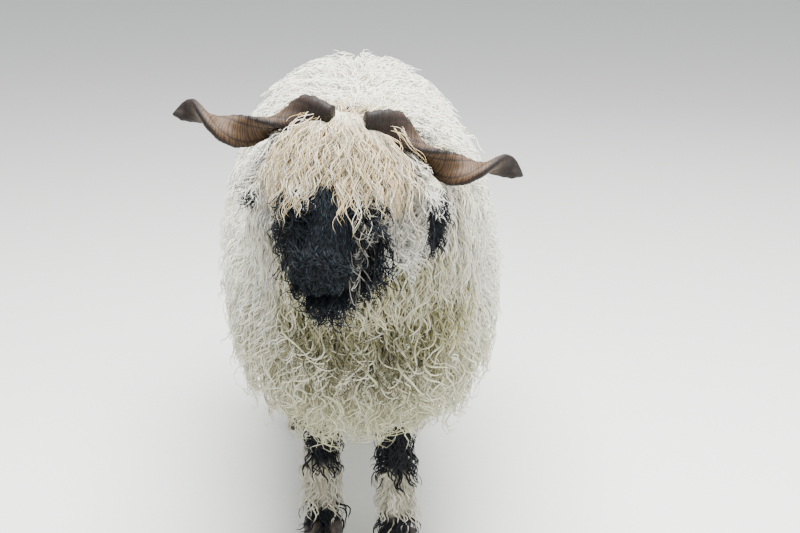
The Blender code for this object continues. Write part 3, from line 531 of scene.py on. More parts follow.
# Hide seen between locks: matt, with the pitted grain of shorn wool roots about 2 mm apart
hide, tree, shader = tree_of("hide_with_short_wool")
place = add(tree, "ShaderNodeTexCoord").outputs["Object"]
grain = add(tree, "ShaderNodeTexNoise", Vector=place, Scale=520.0, Detail=3.0, Roughness=0.6)
curls = add(tree, "ShaderNodeTexVoronoi", Vector=place, Scale=230.0)
colour = add(tree, "ShaderNodeVertexColor", {"layer_name": "wool"})
dark = add(tree, "ShaderNodeMapRange", _0=grain.outputs["Fac"], _1=0.3, _2=0.75, _3=0.55, _4=1.1)
tint = add(tree, "ShaderNodeVectorMath", {"operation": "SCALE"}, _0=colour.outputs["Color"], Scale=dark.outputs[0])
tree.links.new(tint.outputs[0], shader.inputs["Base Color"])
shader.inputs["Roughness"].default_value = 0.85
shader.inputs["Specular IOR Level"].default_value = 0.3
height = add(tree, "ShaderNodeMath", {"operation": "ADD"}, _0=grain.outputs["Fac"], _1=curls.outputs["Distance"])
bump = add(tree, "ShaderNodeBump", Height=height.outputs[0], Strength=0.6, Distance=0.002)
tree.links.new(bump.outputs[0], shader.inputs["Normal"])

parts = [body_skin, head_skin, ear_skins]
skin_points, skin_faces = joined(parts)
skin_part = np.repeat(np.arange(3), [len(faces) for _, faces in parts])
skin_black = markings(skin_points)
skin_black[-len(ear_skins[0]) :] = ear_black(ear_skins[0])
skin_colours = linear("#cfc8b2") * (1 - skin_black[:, None]) + linear("#14161b") * skin_black[:, None]
skin = piece(
    "skin", skin_points, skin_faces, hide, "skin", "torso", "neck", "head", "tail",
    "ear_left", "ear_right", *(f"leg_{name}" for name in STEP),
)
colour_points(skin, skin_colours)

# The eyes
# Amber-brown balls with the level oblong pupil of a sheep, wet and hard, deep between black lids.

eyes = []
for side, name in ((1, "left"), (-1, "right")):
    middle, look, long, up = eye_frame(side)
    turn, fall = np.arange(48) * math.tau / 48, np.linspace(0.02, math.pi - 0.02, 40)
    swell = 1 + 0.045 * np.exp(-((fall / 0.50) ** 2))
    ring = np.cos(turn)[:, None] * long + np.sin(turn)[:, None] * up
    ball = np.cos(fall)[:, None, None] * look + np.sin(fall)[:, None, None] * ring[None]
    rings = middle + ball * (0.0136 * swell)[:, None, None]
    wet, tree, shader = tree_of(f"wet_eye_{name}")
    place = add(tree, "ShaderNodeTexCoord").outputs["Object"]
    centre = tuple(middle + FROM_DRAWING)
    from_middle = add(tree, "ShaderNodeVectorMath", {"operation": "SUBTRACT"}, _0=place, _1=centre)
    along = add(tree, "ShaderNodeVectorMath", {"operation": "DOT_PRODUCT"}, _0=from_middle.outputs[0], _1=tuple(long))
    high = add(tree, "ShaderNodeVectorMath", {"operation": "DOT_PRODUCT"}, _0=from_middle.outputs[0], _1=tuple(up))
    flat = add(tree, "ShaderNodeCombineXYZ", X=along.outputs["Value"], Y=high.outputs["Value"])
    iris = add(tree, "ShaderNodeVectorMath", {"operation": "LENGTH"}, _0=flat.outputs[0])
    narrow = add(tree, "ShaderNodeVectorMath", {"operation": "MULTIPLY"}, _0=flat.outputs[0], _1=(0.42, 1.0, 1.0))
    slit = add(tree, "ShaderNodeVectorMath", {"operation": "LENGTH"}, _0=narrow.outputs[0])
    fibres = add(tree, "ShaderNodeTexNoise", Vector=place, Scale=900.0, Detail=4.0)
    ramp = add(tree, "ShaderNodeValToRGB", Fac=add(tree, "ShaderNodeMapRange", _0=iris.outputs["Value"], _1=0.0, _2=0.0095).outputs[0])
    ramp.color_ramp.elements[0].color = linear("#8a5a22")
    ramp.color_ramp.elements[1].color = linear("#0d0a08")
    ramp.color_ramp.elements.new(0.70).color = linear("#5c3a17")
    ramp.color_ramp.elements.new(0.80).color = linear("#120c08")
    pupil = add(tree, "ShaderNodeMapRange", _0=slit.outputs["Value"], _1=0.0017, _2=0.0021)
    shade = add(tree, "ShaderNodeMath", {"operation": "MULTIPLY"}, _0=pupil.outputs[0], _1=fibres.outputs["Fac"])
    tint = add(tree, "ShaderNodeVectorMath", {"operation": "SCALE"}, _0=ramp.outputs["Color"], Scale=shade.outputs[0])
    tree.links.new(tint.outputs[0], shader.inputs["Base Color"])
    shader.inputs["Roughness"].default_value = 0.04
    shader.inputs["Coat Weight"].default_value = 1.0
    eyes.append(piece(f"eyeball_{name}", *closed_loft(rings), wet, "eye", f"eye_{name}"))

# The horns
# Flat ribbed bands of keratin that wind outwards in an open screw. Fine cross ridges, one every
# 3 mm, ride on slower swellings of growth; the faces are buff and the edges and hollows dark.

HORN_ROOT = np.array([0.020, 0.006, -0.022])
HORN_SPAN = 0.268
HORN_DROOP = math.radians(9.9)
HORN_BACKSWEEP = math.radians(18.0)
HORN_COIL_RADIUS = 0.0185
HORN_PHASE = (-0.52, 3.70, 5.06)
HORN_WIDTH = 0.0275
HORN_THICKNESS = 0.0150


def horn(side):
    """A band carried round a helix on an axis out from the poll, its width along the helix's radius.

    Ridges: the section swells by a saw of the length along the horn, bowed over each face.
    Section: an ellipse pinched at the middle of both faces, so that each face is a shallow hollow
    between two keels, with two narrow grooves.
    """
    t = np.linspace(0.0, 1.0, 420)
    axis = unit(np.array([math.cos(HORN_DROOP) * math.cos(HORN_BACKSWEEP), math.sin(HORN_BACKSWEEP), -math.sin(HORN_DROOP)]))
    lift = unit(np.array([0.0, 0.0, 1.0]) - axis * axis[2])
    front = np.cross(axis, lift)
    front = front if front[1] < 0 else -front
    start, rate, more = HORN_PHASE
    angle = start + rate * t + more * t * t - 9.0 * np.maximum(t - 0.72, 0) ** 2
    coil = HORN_COIL_RADIUS * (1 - 0.50 * t**2) * (0.5 + 0.5 * np.minimum(t * 5, 1))
    radial = np.cos(angle)[:, None] * lift - np.sin(angle)[:, None] * front
    centres = POLL + HORN_ROOT + axis * (t * HORN_SPAN)[:, None] + radial * coil[:, None]
    way = unit(np.gradient(centres, axis=0))
    thin = unit(np.cross(way, radial))
    wide = unit(np.cross(thin, way))
    length = np.concatenate([[0], np.cumsum(np.linalg.norm(np.diff(centres, axis=0), axis=1))])
    uneven = length + 0.0012 * np.sin(length * 190) + 0.0007 * np.sin(length * 430 + 1)
    turn = np.arange(44) * math.tau / 44
    face = np.cos(turn)[None]
    ridge = np.abs(((uneven[:, None] + 0.0045 * face**2 + 0.0015 * face) / 0.0043) % 1 - 0.35) - 0.3
    growth = np.sin(uneven[:, None] * math.tau / 0.019 + 2.0 * face)
    swell = 1 + (0.055 * ridge + 0.030 * growth) * (1 - 0.4 * t)[:, None]
    tip = np.sqrt(np.clip((1 - t) / 0.07, 0, 1))[:, None]
    grooves = 0.09 * np.exp(-(((face - 0.5) / 0.09) ** 2)) + 0.07 * np.exp(-(((face + 0.55) / 0.10) ** 2))
    hollow = 1 - 0.30 * np.exp(-((face / 0.45) ** 2)) - grooves
    width = HORN_WIDTH * (1 - 0.55 * t**3)[:, None] * swell * tip
    thick = HORN_THICKNESS * (1 - 0.38 * t**0.8)[:, None] * swell * tip
    across = (face * width)[..., None] * wide[:, None]
    rise = (np.sin(turn)[None] * hollow * thick)[..., None] * thin[:, None]
    rings = centres[:, None] + across + rise
    rings[:, :, 0] = POLL[0] + (rings[:, :, 0] - POLL[0]) * side
    return turned(rings), length, ridge, face * np.ones_like(ridge)


keratin, tree, shader = tree_of("ribbed_horn_keratin")
wear = add(tree, "ShaderNodeVertexColor", {"layer_name": "wool"})
band = add(tree, "ShaderNodeUVMap", {"uv_map": "along"})
stretch = add(tree, "ShaderNodeMapping", Vector=band.outputs[0], Scale=(1.2, 1.0, 1.0))
fine = add(tree, "ShaderNodeTexNoise", {"noise_dimensions": "2D"}, Vector=stretch.outputs[0], Scale=1.4, Detail=5.0, Roughness=0.65)
slow = add(tree, "ShaderNodeTexNoise", {"noise_dimensions": "2D"}, Vector=stretch.outputs[0], Scale=0.11, Detail=3.0)
mixed = add(tree, "ShaderNodeMath", {"operation": "ADD"}, _0=fine.outputs["Fac"], _1=slow.outputs["Fac"])
light = add(tree, "ShaderNodeMapRange", _0=mixed.outputs[0], _1=0.6, _2=1.4, _3=0.38, _4=1.30)
tint = add(tree, "ShaderNodeVectorMath", {"operation": "SCALE"}, _0=wear.outputs["Color"], Scale=light.outputs[0])
tree.links.new(tint.outputs[0], shader.inputs["Base Color"])
shader.inputs["Roughness"].default_value = 0.60
shader.inputs["Specular IOR Level"].default_value = 0.25
bump = add(tree, "ShaderNodeBump", Height=fine.outputs["Fac"], Strength=0.5, Distance=0.0008)
tree.links.new(bump.outputs[0], shader.inputs["Normal"])


def map_points(obj, name, uv):
    """A UV map whose value at each corner is that of its point."""
    corner = np.empty(len(obj.data.loops), np.int32)
    obj.data.loops.foreach_get("vertex_index", corner)
    layer = obj.data.uv_layers.new(name=name, do_init=False)
    layer.uv.foreach_set("vector", np.ascontiguousarray(uv[corner], np.float32).ravel())


horns = {}
for side, name in ((1, "left"), (-1, "right")):
    rings, length, ridge, face = horn(side)
    sides = rings.shape[1]
    shape = closed_loft(rings)
    horns[name] = shape
    obj = piece(f"horn_band_{name}", *shape, keratin, "horn", f"horn_{name}")
    t = np.linspace(0, 1, len(length))[:, None]
    rim = eased(np.abs(face), 0.90, 0.18) + 0.7 * eased(-np.abs(np.abs(face) - 0.52), -0.06, 0.08)
    dark = np.clip(0.75 * rim + 0.85 * (ridge < -0.12) + 0.8 * (1 - eased(t, 0.10, 0.16)) + 0.7 * eased(t, 0.84, 0.12), 0, 1)
    buff = np.clip(eased(t, 0.30, 0.25) * (1 - eased(t, 0.80, 0.15)) * (1 - 1.1 * rim), 0, 1)
    tone = linear("#291b12") + (linear("#503b26") - linear("#291b12")) * buff[..., None]
    tone = tone + (linear("#0e0907") - tone) * 0.8 * dark[..., None]
    colour_points(obj, np.vstack([tone.reshape(-1, 4), tone[0, :1], tone[-1, :1]]))
    u = np.abs(np.linspace(-1, 1, sides))[None, :] * 30 * np.ones(len(length))[:, None]
    v = np.repeat(length[:, None] * 1000, sides, axis=1)
    along = np.stack([v, u * 0.12], axis=-1).reshape(-1, 2)
    map_points(obj, "along", np.vstack([along, along[:1], along[-1:]]))

# The hooves
# Two dark horny claws on each foot, split in front, with a soft bulb behind. They taper up to the
# coronet and carry faint growth rings.

CORONET_HEIGHT = 0.047
CLAW_LENGTH = 0.066
CLAW_HALF_WIDTH = 0.0165
CLAW_APART = 0.0175

horny, tree, shader = tree_of("dark_claw_horn")
place = add(tree, "ShaderNodeTexCoord").outputs["Object"]
rings_of_growth = add(tree, "ShaderNodeMapping", Vector=place, Scale=(40.0, 40.0, 700.0))
lines = add(tree, "ShaderNodeTexNoise", Vector=rings_of_growth.outputs[0], Scale=1.0, Detail=3.0)
soil = add(tree, "ShaderNodeTexNoise", Vector=place, Scale=90.0, Detail=5.0)
ramp = add(tree, "ShaderNodeValToRGB", Fac=soil.outputs["Fac"])
ramp.color_ramp.elements[0].position = 0.30
ramp.color_ramp.elements[0].color = linear("#231f1d")
ramp.color_ramp.elements[1].position = 0.75
ramp.color_ramp.elements[1].color = linear("#5b5046")
tree.links.new(ramp.outputs["Color"], shader.inputs["Base Color"])
shader.inputs["Roughness"].default_value = 0.6
bump = add(tree, "ShaderNodeBump", Height=lines.outputs["Fac"], Strength=0.5, Distance=0.0012)
tree.links.new(bump.outputs[0], shader.inputs["Normal"])


def claw(centre, side):
    """Level ovals from coronet to sole, pointed in front, their length and lean a curve of height."""
    t = np.linspace(0, 1, 22)
    height = np.interp(t, [0, 0.9, 1], [CORONET_HEIGHT - 0.0003, 0.003, 0.0])
    length = CLAW_LENGTH * np.interp(t, [0, 0.62, 0.93, 1], [0.62, 0.90, 1.0, 0.96]) / 2
    width = CLAW_HALF_WIDTH * np.interp(t, [0, 0.62, 0.93, 1], [0.92, 1.0, 0.98, 0.92])
    toe = np.interp(t, [0, 0.62, 1], [0.004, -0.004, -0.010])
    turn = np.arange(40) * math.tau / 40
    out = np.cos(turn) * (1 - 0.35 * np.maximum(-np.sin(turn), 0) ** 2)
    x = centre[0] + side * CLAW_APART + out[None, :] * width[:, None]
    y = centre[1] + toe[:, None] + np.sin(turn)[None, :] * length[:, None]
    return closed_loft(np.stack([x, y, np.repeat(height[:, None], 40, axis=1)], axis=2))


def bulb(centre):
    """A ball flattened to the soft heel."""
    fall, turn = np.linspace(0.05, math.pi - 0.05, 16), np.arange(24) * math.tau / 24
    ball = np.stack(
        [np.sin(fall)[:, None] * np.cos(turn), np.sin(fall)[:, None] * np.sin(turn), np.cos(fall)[:, None] + 0 * turn],
        axis=2,
    )
    return closed_loft(ball * (0.019, 0.0125, 0.0115) + (centre[0], centre[1] + 0.017, 0.024))


for name in STEP:
    foot = leg_stations(name)[-1]
    piece(f"claws_{name}", *joined([claw(foot, 1), claw(foot, -1), bulb(foot)]), horny, "hoof", f"hoof_{name}")

# The fleece of back, sides and rump
# Off-white long wool in thin staples that wave finely, lie down and back from the spine, and hang
# longest at the lower edge. Each strand is a tapered three-sided tube of mesh.

random = np.random.default_rng(8)
obstacles = joined([body_skin, head_skin, ear_skins, *horns.values()])
surface = BVHTree.FromPolygons(obstacles[0].tolist(), obstacles[1].tolist())
MOST_TRIANGLES = 190_000
LIFT_STEP = 0.005
FARTHEST_TIP = 0.040
PATCH = 0.003

corners = skin_points[skin_faces]
cross = np.cross(corners[:, 1] - corners[:, 0], corners[:, 2] - corners[:, 0])
face_area = np.linalg.norm(cross, axis=1) / 2
face_middle = corners.mean(1)
point_normal = np.zeros_like(skin_points)
for corner in range(3):
    np.add.at(point_normal, skin_faces[:, corner], cross)
point_normal = unit(point_normal)


def covered(points, normals):
    """Whether each root lies inside another part: looking out from it, a face is seen from behind."""
    hidden = np.zeros(len(points), bool)
    for k, (point, normal) in enumerate(zip(points.tolist(), normals.tolist())):
        start = Vector(point) + Vector(normal) * 0.0015
        _, facing, _, _ = surface.ray_cast(start, Vector(normal))
        hidden[k] = facing is not None and facing.dot(Vector(normal)) > 0
    return hidden


def roots_on(chosen, spacing):
    """Roots over the chosen faces of the skin: drawn in proportion to area, then one for each cube."""
    share = face_area * chosen
    total = share.sum()
    count = int(5 * total / spacing**2)
    drawn = (np.arange(count) + random.random(count)) * total / count
    face = np.minimum(np.searchsorted(np.cumsum(share), drawn), len(share) - 1)
    a, b = np.sqrt(random.random(count)), random.random(count)
    weight = np.stack([1 - a, a * (1 - b), a * b], axis=1)[..., None]
    point = (corners[face] * weight).sum(1)
    normal = unit((point_normal[skin_faces[face]] * weight).sum(1))
    order = random.permutation(count)
    cube = np.floor(point[order] / spacing).astype(int)
    _, first = np.unique(cube, axis=0, return_index=True)
    kept = order[first]
    kept = kept[~covered(point[kept], normal[kept])]
    return point[kept], normal[kept]


def lifted(points, height):
    """The points, each moved towards its height over skin and horn, by a short step at most."""
    for k, point in enumerate(points):
        place, facing, _, _ = surface.find_nearest(Vector(point))
        over = (point - np.array(place)) @ np.array(facing)
        if over < height[k]:
            points[k] = point + np.array(facing) * min(height[k] - over, LIFT_STEP)
    return points


def combed(root, normal, lie, length, height, fall, count):
    """Middle lines of staples: they leave the skin along its normal, bend into their lie, sink with
    their weight, are lifted wherever they would dip under their height over the skin, and are smoothed."""
    line = [root]
    stride = (length / (count - 1))[:, None]
    for k in range(1, count):
        t = (k - 0.5) / (count - 1)
        rise = (height * 40)[:, None] * (1 - t) ** 4
        way = unit(normal * rise + lie + np.array([0, 0, -1.0]) * (fall * t)[:, None])
        least = height * min(1.0, 0.35 + 1.6 * k / (count - 1))
        line.append(lifted(line[-1] + way * stride, least))
    line = np.stack(line, axis=1)
    for _ in range(3):
        line[:, 1:-1] = line[:, 1:-1] / 2 + (line[:, :-2] + line[:, 2:]) / 4
    return line


def nearest(points, places):
    """The index of the place nearest to each point."""
    tree = KDTree(len(places))
    for k, place in enumerate(places.tolist()):
        tree.insert(place, k)
    tree.balance()
    return np.array([tree.find(point)[1] for point in points.tolist()])


def curled(middle, across, swing, turns, phase, hook):
    """The lines redrawn so that their heading swings from side to side, as crimped wool does.

    Each step turns away from the line's own way by the swing times the sine of its phase, and a
    little outwards by the cosine. The steps are lengthened so that a
    line keeps its reach. A hook adds a turn that grows to its own angle at the tip.
    """
    step = np.diff(middle, axis=1)
    size = np.linalg.norm(step, axis=2, keepdims=True)
    way = step / size
    side = unit(np.cross(way, across[:, None]))
    out = np.cross(side, way)
    t = (np.arange(step.shape[1]) + 0.5) / step.shape[1]
    turn = phase[:, None] + math.tau * turns[:, None] * t
    angle = swing[:, None] * np.minimum(1.0, 0.3 + 1.4 * t) * np.sin(turn) + hook[:, None] * t**3.2
    rise = 0.35 * swing[:, None] * np.cos(turn)
    size = size / (1 - swing**2 / 4 + swing**4 / 64)[:, None, None]
    step = size * unit(way * np.cos(angle)[..., None] + side * np.sin(angle)[..., None] + out * rise[..., None])
    return np.concatenate([middle[:, :1], middle[:, :1] + np.cumsum(step, axis=1)], axis=1)


def strands(root, normal, lie, spacing, rings, length, height, fall, turns, swing, gather, spread, hook=0.0):
    """Middle lines of wool strands, as (strand, point, 3).

    One guide is kept in each cube of the spacing, and the strands nearest to it make a staple. They
    follow its line, close in on it by the gather towards their tips, and curl nearly together.
    """
    _, guide = np.unique(np.floor(root / spacing + 0.37).astype(int), axis=0, return_index=True)
    own = nearest(root, root[guide])
    start = 3.0 * ragged(root[guide], 0.05) + random.uniform(0, math.tau, len(guide)) * 0.6
    hand = np.where(random.random(len(guide)) < 0.5, -1.0, 1.0)
    line = combed(root[guide], normal[guide], lie[guide], length[guide], height[guide], fall[guide], rings)
    t = np.linspace(0, 1, rings)
    shape = (line - root[guide][:, None])[own] * (length / length[guide][own])[:, None, None]
    middle = root[:, None] + shape
    middle += (root[guide][own] - root)[:, None] * (gather * t**1.2)[None, :, None]
    stray = random.normal(0, 1, (len(root), 1, 3)) * spread
    phase = start[own] + random.normal(0, 0.35, len(root))
    return curled(middle + stray * t[None, :, None], normal - 0.6 * lie, swing, turns * hand[own], phase, hook * hand[own])


def unrolled(points, middle, axis, up):
    """Where each point lies on the unrolled skin of one part: its turn about the part's axis, and
    its distance along the axis, both from 0 to 1."""
    axis, up = unit(np.array(axis, float)), np.array(up, float)
    side = unit(np.cross(axis, up))
    up = np.cross(side, axis)
    away = points - middle
    along = away @ axis
    turn = np.arctan2(away @ side, away @ up) / math.tau + 0.5
    return np.stack([turn, (along - along.min()) / max(np.ptp(along), 1e-6)], axis=1)


def tufts(name, line, across_normal, width, colours, flat, material, slot):
    """One coat piece: tapered three-sided tubes about the strands' lines, each closed at its root
    and drawn to a point. colours holds the root and tip colour of each strand."""
    count, rings, _ = line.shape
    t = np.linspace(0, 1, rings)
    way = unit(np.gradient(line, axis=1))
    side = unit(np.cross(way, across_normal[:, None]))
    out = np.cross(side, way)
    half = width[:, None] / 2 * np.interp(t, [0, 0.25, 0.70, 1.0], [0.75, 1.0, 0.80, 0.20])[None]
    turn = np.radians([90.0, 210.0, 330.0])
    ring = side[:, :, None] * (np.cos(turn)[None, None] * half[..., None])[..., None]
    ring = ring + out[:, :, None] * (np.sin(turn)[None, None] * half[..., None] * 0.62)[..., None]
    tube = (line[:, :-1, None] + ring[:, :-1]).reshape(count, -1, 3)
    points = np.concatenate([tube, line[:, -1:]], axis=1)
    each, last = points.shape[1], (rings - 2) * 3
    tip = [(last + k, last + (k + 1) % 3, each - 1) for k in range(3)]
    faces = np.vstack([tube_faces(rings - 1, 3), [(0, 2, 1)], tip])
    faces = (faces[None] + (np.arange(count) * each)[:, None, None]).reshape(-1, 3)
    obj = piece(name, points.reshape(-1, 3), faces, material, slot)
    along = np.append(np.repeat(t[:-1], 3), 1.0)
    across = np.append(np.tile([0.5, 0.0, 1.0], rings - 1), 0.5)
    # Each strand runs from its root colour to its tip colour; the coats give darker roots than tips, painted shade down
    # among the strands.
    tone = colours[0][:, None] * (1 - along[None, :, None]) + colours[1][:, None] * along[None, :, None]
    colour_points(obj, tone.reshape(-1, 4))
    length = np.linalg.norm(np.diff(line, axis=1), axis=2).sum(1) * 1000
    u = across[None] * width[:, None] * 1000 + random.uniform(0, 900, (count, 1))
    map_points(obj, "strand", np.stack([u, along[None] * length[:, None]], axis=-1).reshape(-1, 2))
    patch = np.stack([across, along], axis=-1)[None] * PATCH + 0.0035 + flat[:, None] * 0.990
    map_points(obj, "OFBake", patch.reshape(-1, 2))
    obj.data.uv_layers["strand"].active_render = True
    obj.data.uv_layers.active = obj.data.uv_layers["strand"]


def coat(name, root, normal, lie, flat, width, colours, material, slot, rings, black=None, farthest=0.12, **growth):
    """Grows a region's strands and joins them into pieces of fewer triangles than the limit. The
    strands marked black become pieces of black wool. Those that fly up off the skin are left out."""
    lie = unit(lie - normal * (lie * normal).sum(1, keepdims=True))
    line = strands(root, normal, lie, rings=rings, **growth)
    count = len(root)
    off_skin = np.array([surface.find_nearest(Vector(tip))[3] for tip in line[:, -1]])
    rising = line[:, -1, 2] > root[:, 2] - 0.02
    stray = off_skin > np.where(rising, FARTHEST_TIP, farthest)
    black = np.zeros(count, bool) if black is None else black
    dark = [toned(count, ("#050609", "#0e1013"), 0.2), toned(count, ("#0b0d11", "#1b1f25"), 0.3)]
    for kind, chosen, tones, stuff, place in (
        (name, ~black, colours, material, slot), (name + "_black", black, dark, black_wool, "black_wool"),
    ):
        own = random.permutation(np.flatnonzero(chosen & ~stray))
        shares = math.ceil(len(own) * (6 * rings - 8) / MOST_TRIANGLES)
        for part, some in enumerate(np.array_split(own, shares) if shares else []):
            tufts(
                f"{kind}_{part + 1}" if shares > 1 else kind, line[some], (normal - 0.6 * lie)[some],
                width[some], [tone[some] for tone in tones], flat[some], stuff, place,
            )


def even(count, low, high):
    return random.uniform(low, high, count)


def toned(count, colours, spread):
    """A colour for each strand: a mix of two neighbours in the list, lighter or darker by the spread."""
    table = np.array([linear(colour) for colour in colours])
    at = random.random(count) * (len(table) - 1)
    low = np.minimum(at.astype(int), len(table) - 2)
    mixed = table[low] + (table[low + 1] - table[low]) * (at - low)[:, None]
    mixed[:, :3] *= np.exp(random.normal(0, spread, count))[:, None]
    return np.minimum(mixed, 0.90)


def wool_material(name, roughness, sheen, depth):
    """Wool strands: fibres 0.8 mm apart run along each strand, drawn coarser than the real 30 micron."""
    material, tree, shader = tree_of(name)
    tone = add(tree, "ShaderNodeVertexColor", {"layer_name": "wool"})
    strand = add(tree, "ShaderNodeUVMap", {"uv_map": "strand"})
    drawn = add(tree, "ShaderNodeMapping", Vector=strand.outputs[0], Scale=(1.25, 0.10, 1.0))
    fibres = add(tree, "ShaderNodeTexNoise", {"noise_dimensions": "2D"}, Vector=drawn.outputs[0], Scale=1.0, Detail=2.0)
    light = add(tree, "ShaderNodeMapRange", _0=fibres.outputs["Fac"], _1=0.25, _2=0.75, _3=0.70, _4=1.10)
    tint = add(tree, "ShaderNodeVectorMath", {"operation": "SCALE"}, _0=tone.outputs["Color"], Scale=light.outputs[0])
    tree.links.new(tint.outputs[0], shader.inputs["Base Color"])
    shader.inputs["Roughness"].default_value = roughness
    shader.inputs["Specular IOR Level"].default_value = 0.15
    shader.inputs["Sheen Weight"].default_value = sheen
    shader.inputs["Sheen Roughness"].default_value = 0.5
    bump = add(tree, "ShaderNodeBump", Height=fibres.outputs["Fac"], Strength=0.6, Distance=depth)
    tree.links.new(bump.outputs[0], shader.inputs["Normal"])
    return material


white_wool = wool_material("greasy_white_wool", 0.78, 0.22, 0.0012)
black_wool = wool_material("glossy_black_wool", 0.50, 0.03, 0.0008)
black_wool.node_tree.nodes["Principled BSDF"].inputs["Sheen Tint"].default_value = linear("#b9d4f0")

on_body, on_head_skin, on_ears = (skin_part == k for k in range(3))
x, y, z = face_middle.T
out, behind, above = in_head(face_middle)
about_head = ~on_ears & (behind < 0.300) & (behind > -0.02) & (above > -0.115)
about_head &= (np.abs(out) < 0.150) & (y < -0.28)
before_collar = (face_middle - TORSO_PLANE[0]) @ TORSO_PLANE[1] > 0
on_tail = (y > 0.842) & (np.abs(x) < 0.045)
on_legs = on_body & (z < 0.300)

root, normal = roots_on(on_body & ~before_collar & ~on_tail & ~on_legs, 0.0119)
count = len(root)
low = eased(-root[:, 2], -0.44, 0.16)
parted = np.clip(root[:, 0] / 0.09, -1, 1) + 0.8 * ragged(root, 0.045) * (np.abs(root[:, 0]) < 0.10)
lie = np.stack([0.9 * parted * np.maximum(normal[:, 2], 0), np.full(count, 0.35), np.full(count, -0.9)], axis=1)
lie += 0.22 * np.stack([ragged(root + k, 0.07) for k in (0.1, 0.4, 0.8)], axis=1)
# Darker and yellower towards the belly: partly grease and dirt, partly painted shade under the belly.
soiled_and_shaded = (1 - 0.32 * low)[:, None] * np.array([1.0, 0.98, 0.74, 1.0]) ** (0.2 + low)[:, None]
left_of_her = root[:, 0] > 0
fuller = np.where(left_of_her, -0.010, -0.014) * eased(root[:, 2], np.where(left_of_her, 0.48, 0.56), 0.12)
fuller += 0.018 * (root[:, 0] < -0.05) * np.exp(-(((root[:, 2] - 0.39) / 0.07) ** 2))
coat(
    "fleece", root, normal, lie, unrolled(root, (0, 0, 0.5), (0, 1, 0), (0, 0, 1)), even(count, 0.0023, 0.0041),
    [toned(count, tones, 0.06) * soiled_and_shaded for tones in (("#d3d0bd", "#e3e1d2"), ("#f7f7ee", "#fefefa", "#ecebdc"))],
    white_wool, "fleece", rings=9, spacing=0.024,
    length=np.minimum(even(count, 0.042, 0.064) * (1 + 0.65 * low), np.maximum(root[:, 2] - 0.235, 0.05)),
    height=even(count, 0.020, 0.031) + fuller, fall=0.5 + 0.9 * low, turns=even(count, 1.2, 2.0),
    swing=even(count, 0.55, 0.95) * (1 + 0.3 * low), gather=0.45, spread=0.003, hook=even(count, 0.6, 2.6) * low,
)

# The bib and ruff
# Fine dense wool on throat, neck and chest, and over it bright open curls 2 to 3 cm across that
# hang in hooks, longest round the brisket. Low on the chest the wool is darker and olive: partly
# grease, partly painted shade under the chest and a painted greenish reflection from the ground.

collar = on_body & before_collar & ~on_legs & ~about_head
for name, spacing in (("bib", 0.0084), ("bib_curls", 0.0160)):
    root, normal = roots_on(collar, spacing)
    count = len(root)
    front = eased(-root[:, 1], 0.10, 0.12) * eased(-normal[:, 2], -0.5, 0.4)
    # deep marks the low front of the chest, where the colour is darkened and turned olive: partly grease, partly
    # painted shade and a painted greenish reflection from the ground. The roots are darkened most, as painted shade in
    # the gaps between the curls.
    deep = eased(-root[:, 2], -0.54, 0.34) * np.maximum(eased(-normal[:, 1], 0.45, 0.7), eased(-root[:, 2], -0.42, 0.10))
    lie = np.stack([0.4 * np.clip(root[:, 0] / 0.06, -1, 1) * np.maximum(normal[:, 2], 0), 0.3 * (normal[:, 2] > 0.2), -np.ones(count)], axis=1)
    lie += 0.10 * np.stack([ragged(root + k, 0.045) for k in (0.2, 0.5, 0.9)], axis=1)
    soiled_and_shaded = (1 - 0.66 * deep)[:, None] * np.array([1.0, 0.95, 0.38, 1.0]) ** deep[:, None]
    flat = unrolled(root, (0, -0.1, 0.58), (0, -1, 0.3), (0, 0, 1))
    deepest = np.maximum(root[:, 2] - 0.235, 0.05)
    brisket = eased(-root[:, 2], -0.53, 0.10) * (1 - eased(np.abs(root[:, 0] + 0.03), 0.12, 0.06))
    if name == "bib":
        coat(
            name, root, normal, lie, flat, even(count, 0.0018, 0.0034),
            # The tips are darkened round the brisket as well: painted shade under the chest.
            [toned(count, ("#b5ae90", "#cdc7ae"), 0.12) * soiled_and_shaded**3.2, toned(count, ("#ece8d8", "#f8f6ec", "#ddd6bc"), 0.10) * soiled_and_shaded * (1 - 0.62 * brisket)[:, None]],
            white_wool, "fleece", rings=12, spacing=0.022,
            length=np.minimum(even(count, 0.055, 0.085) * (1 + 0.35 * front), deepest),
            height=even(count, 0.018, 0.032), fall=0.6 + 1.2 * front, turns=even(count, 1.3, 2.2),
            swing=even(count, 0.50, 0.90), gather=0.45, spread=0.003, hook=even(count, 0.2, 1.5),
        )
    else:
        coat(
            name, root, normal, lie, flat, even(count, 0.0024, 0.0036) * (1 + 0.65 * brisket),
            [toned(count, ("#cfc7aa", "#ddd7c0"), 0.08) * soiled_and_shaded**1.5, toned(count, ("#f8f4e4", "#fdfaee", "#ece4c8"), 0.08) * soiled_and_shaded**0.2],
            white_wool, "fleece", rings=20, spacing=0.014,
            length=np.minimum(even(count, 0.045, 0.070) * (1 + 0.55 * brisket), deepest),
            height=even(count, 0.024, 0.034), fall=0.9 + 1.8 * front, turns=even(count, 1.0, 1.8),
            swing=even(count, 0.35, 0.70), gather=0.1, spread=0.004, hook=0.4 + even(count, 1.4, 3.2) * brisket,
        )

# The wool of the legs
# Close tight curls from elbow and stifle to the hoof, white but for black knees, hocks and feet.

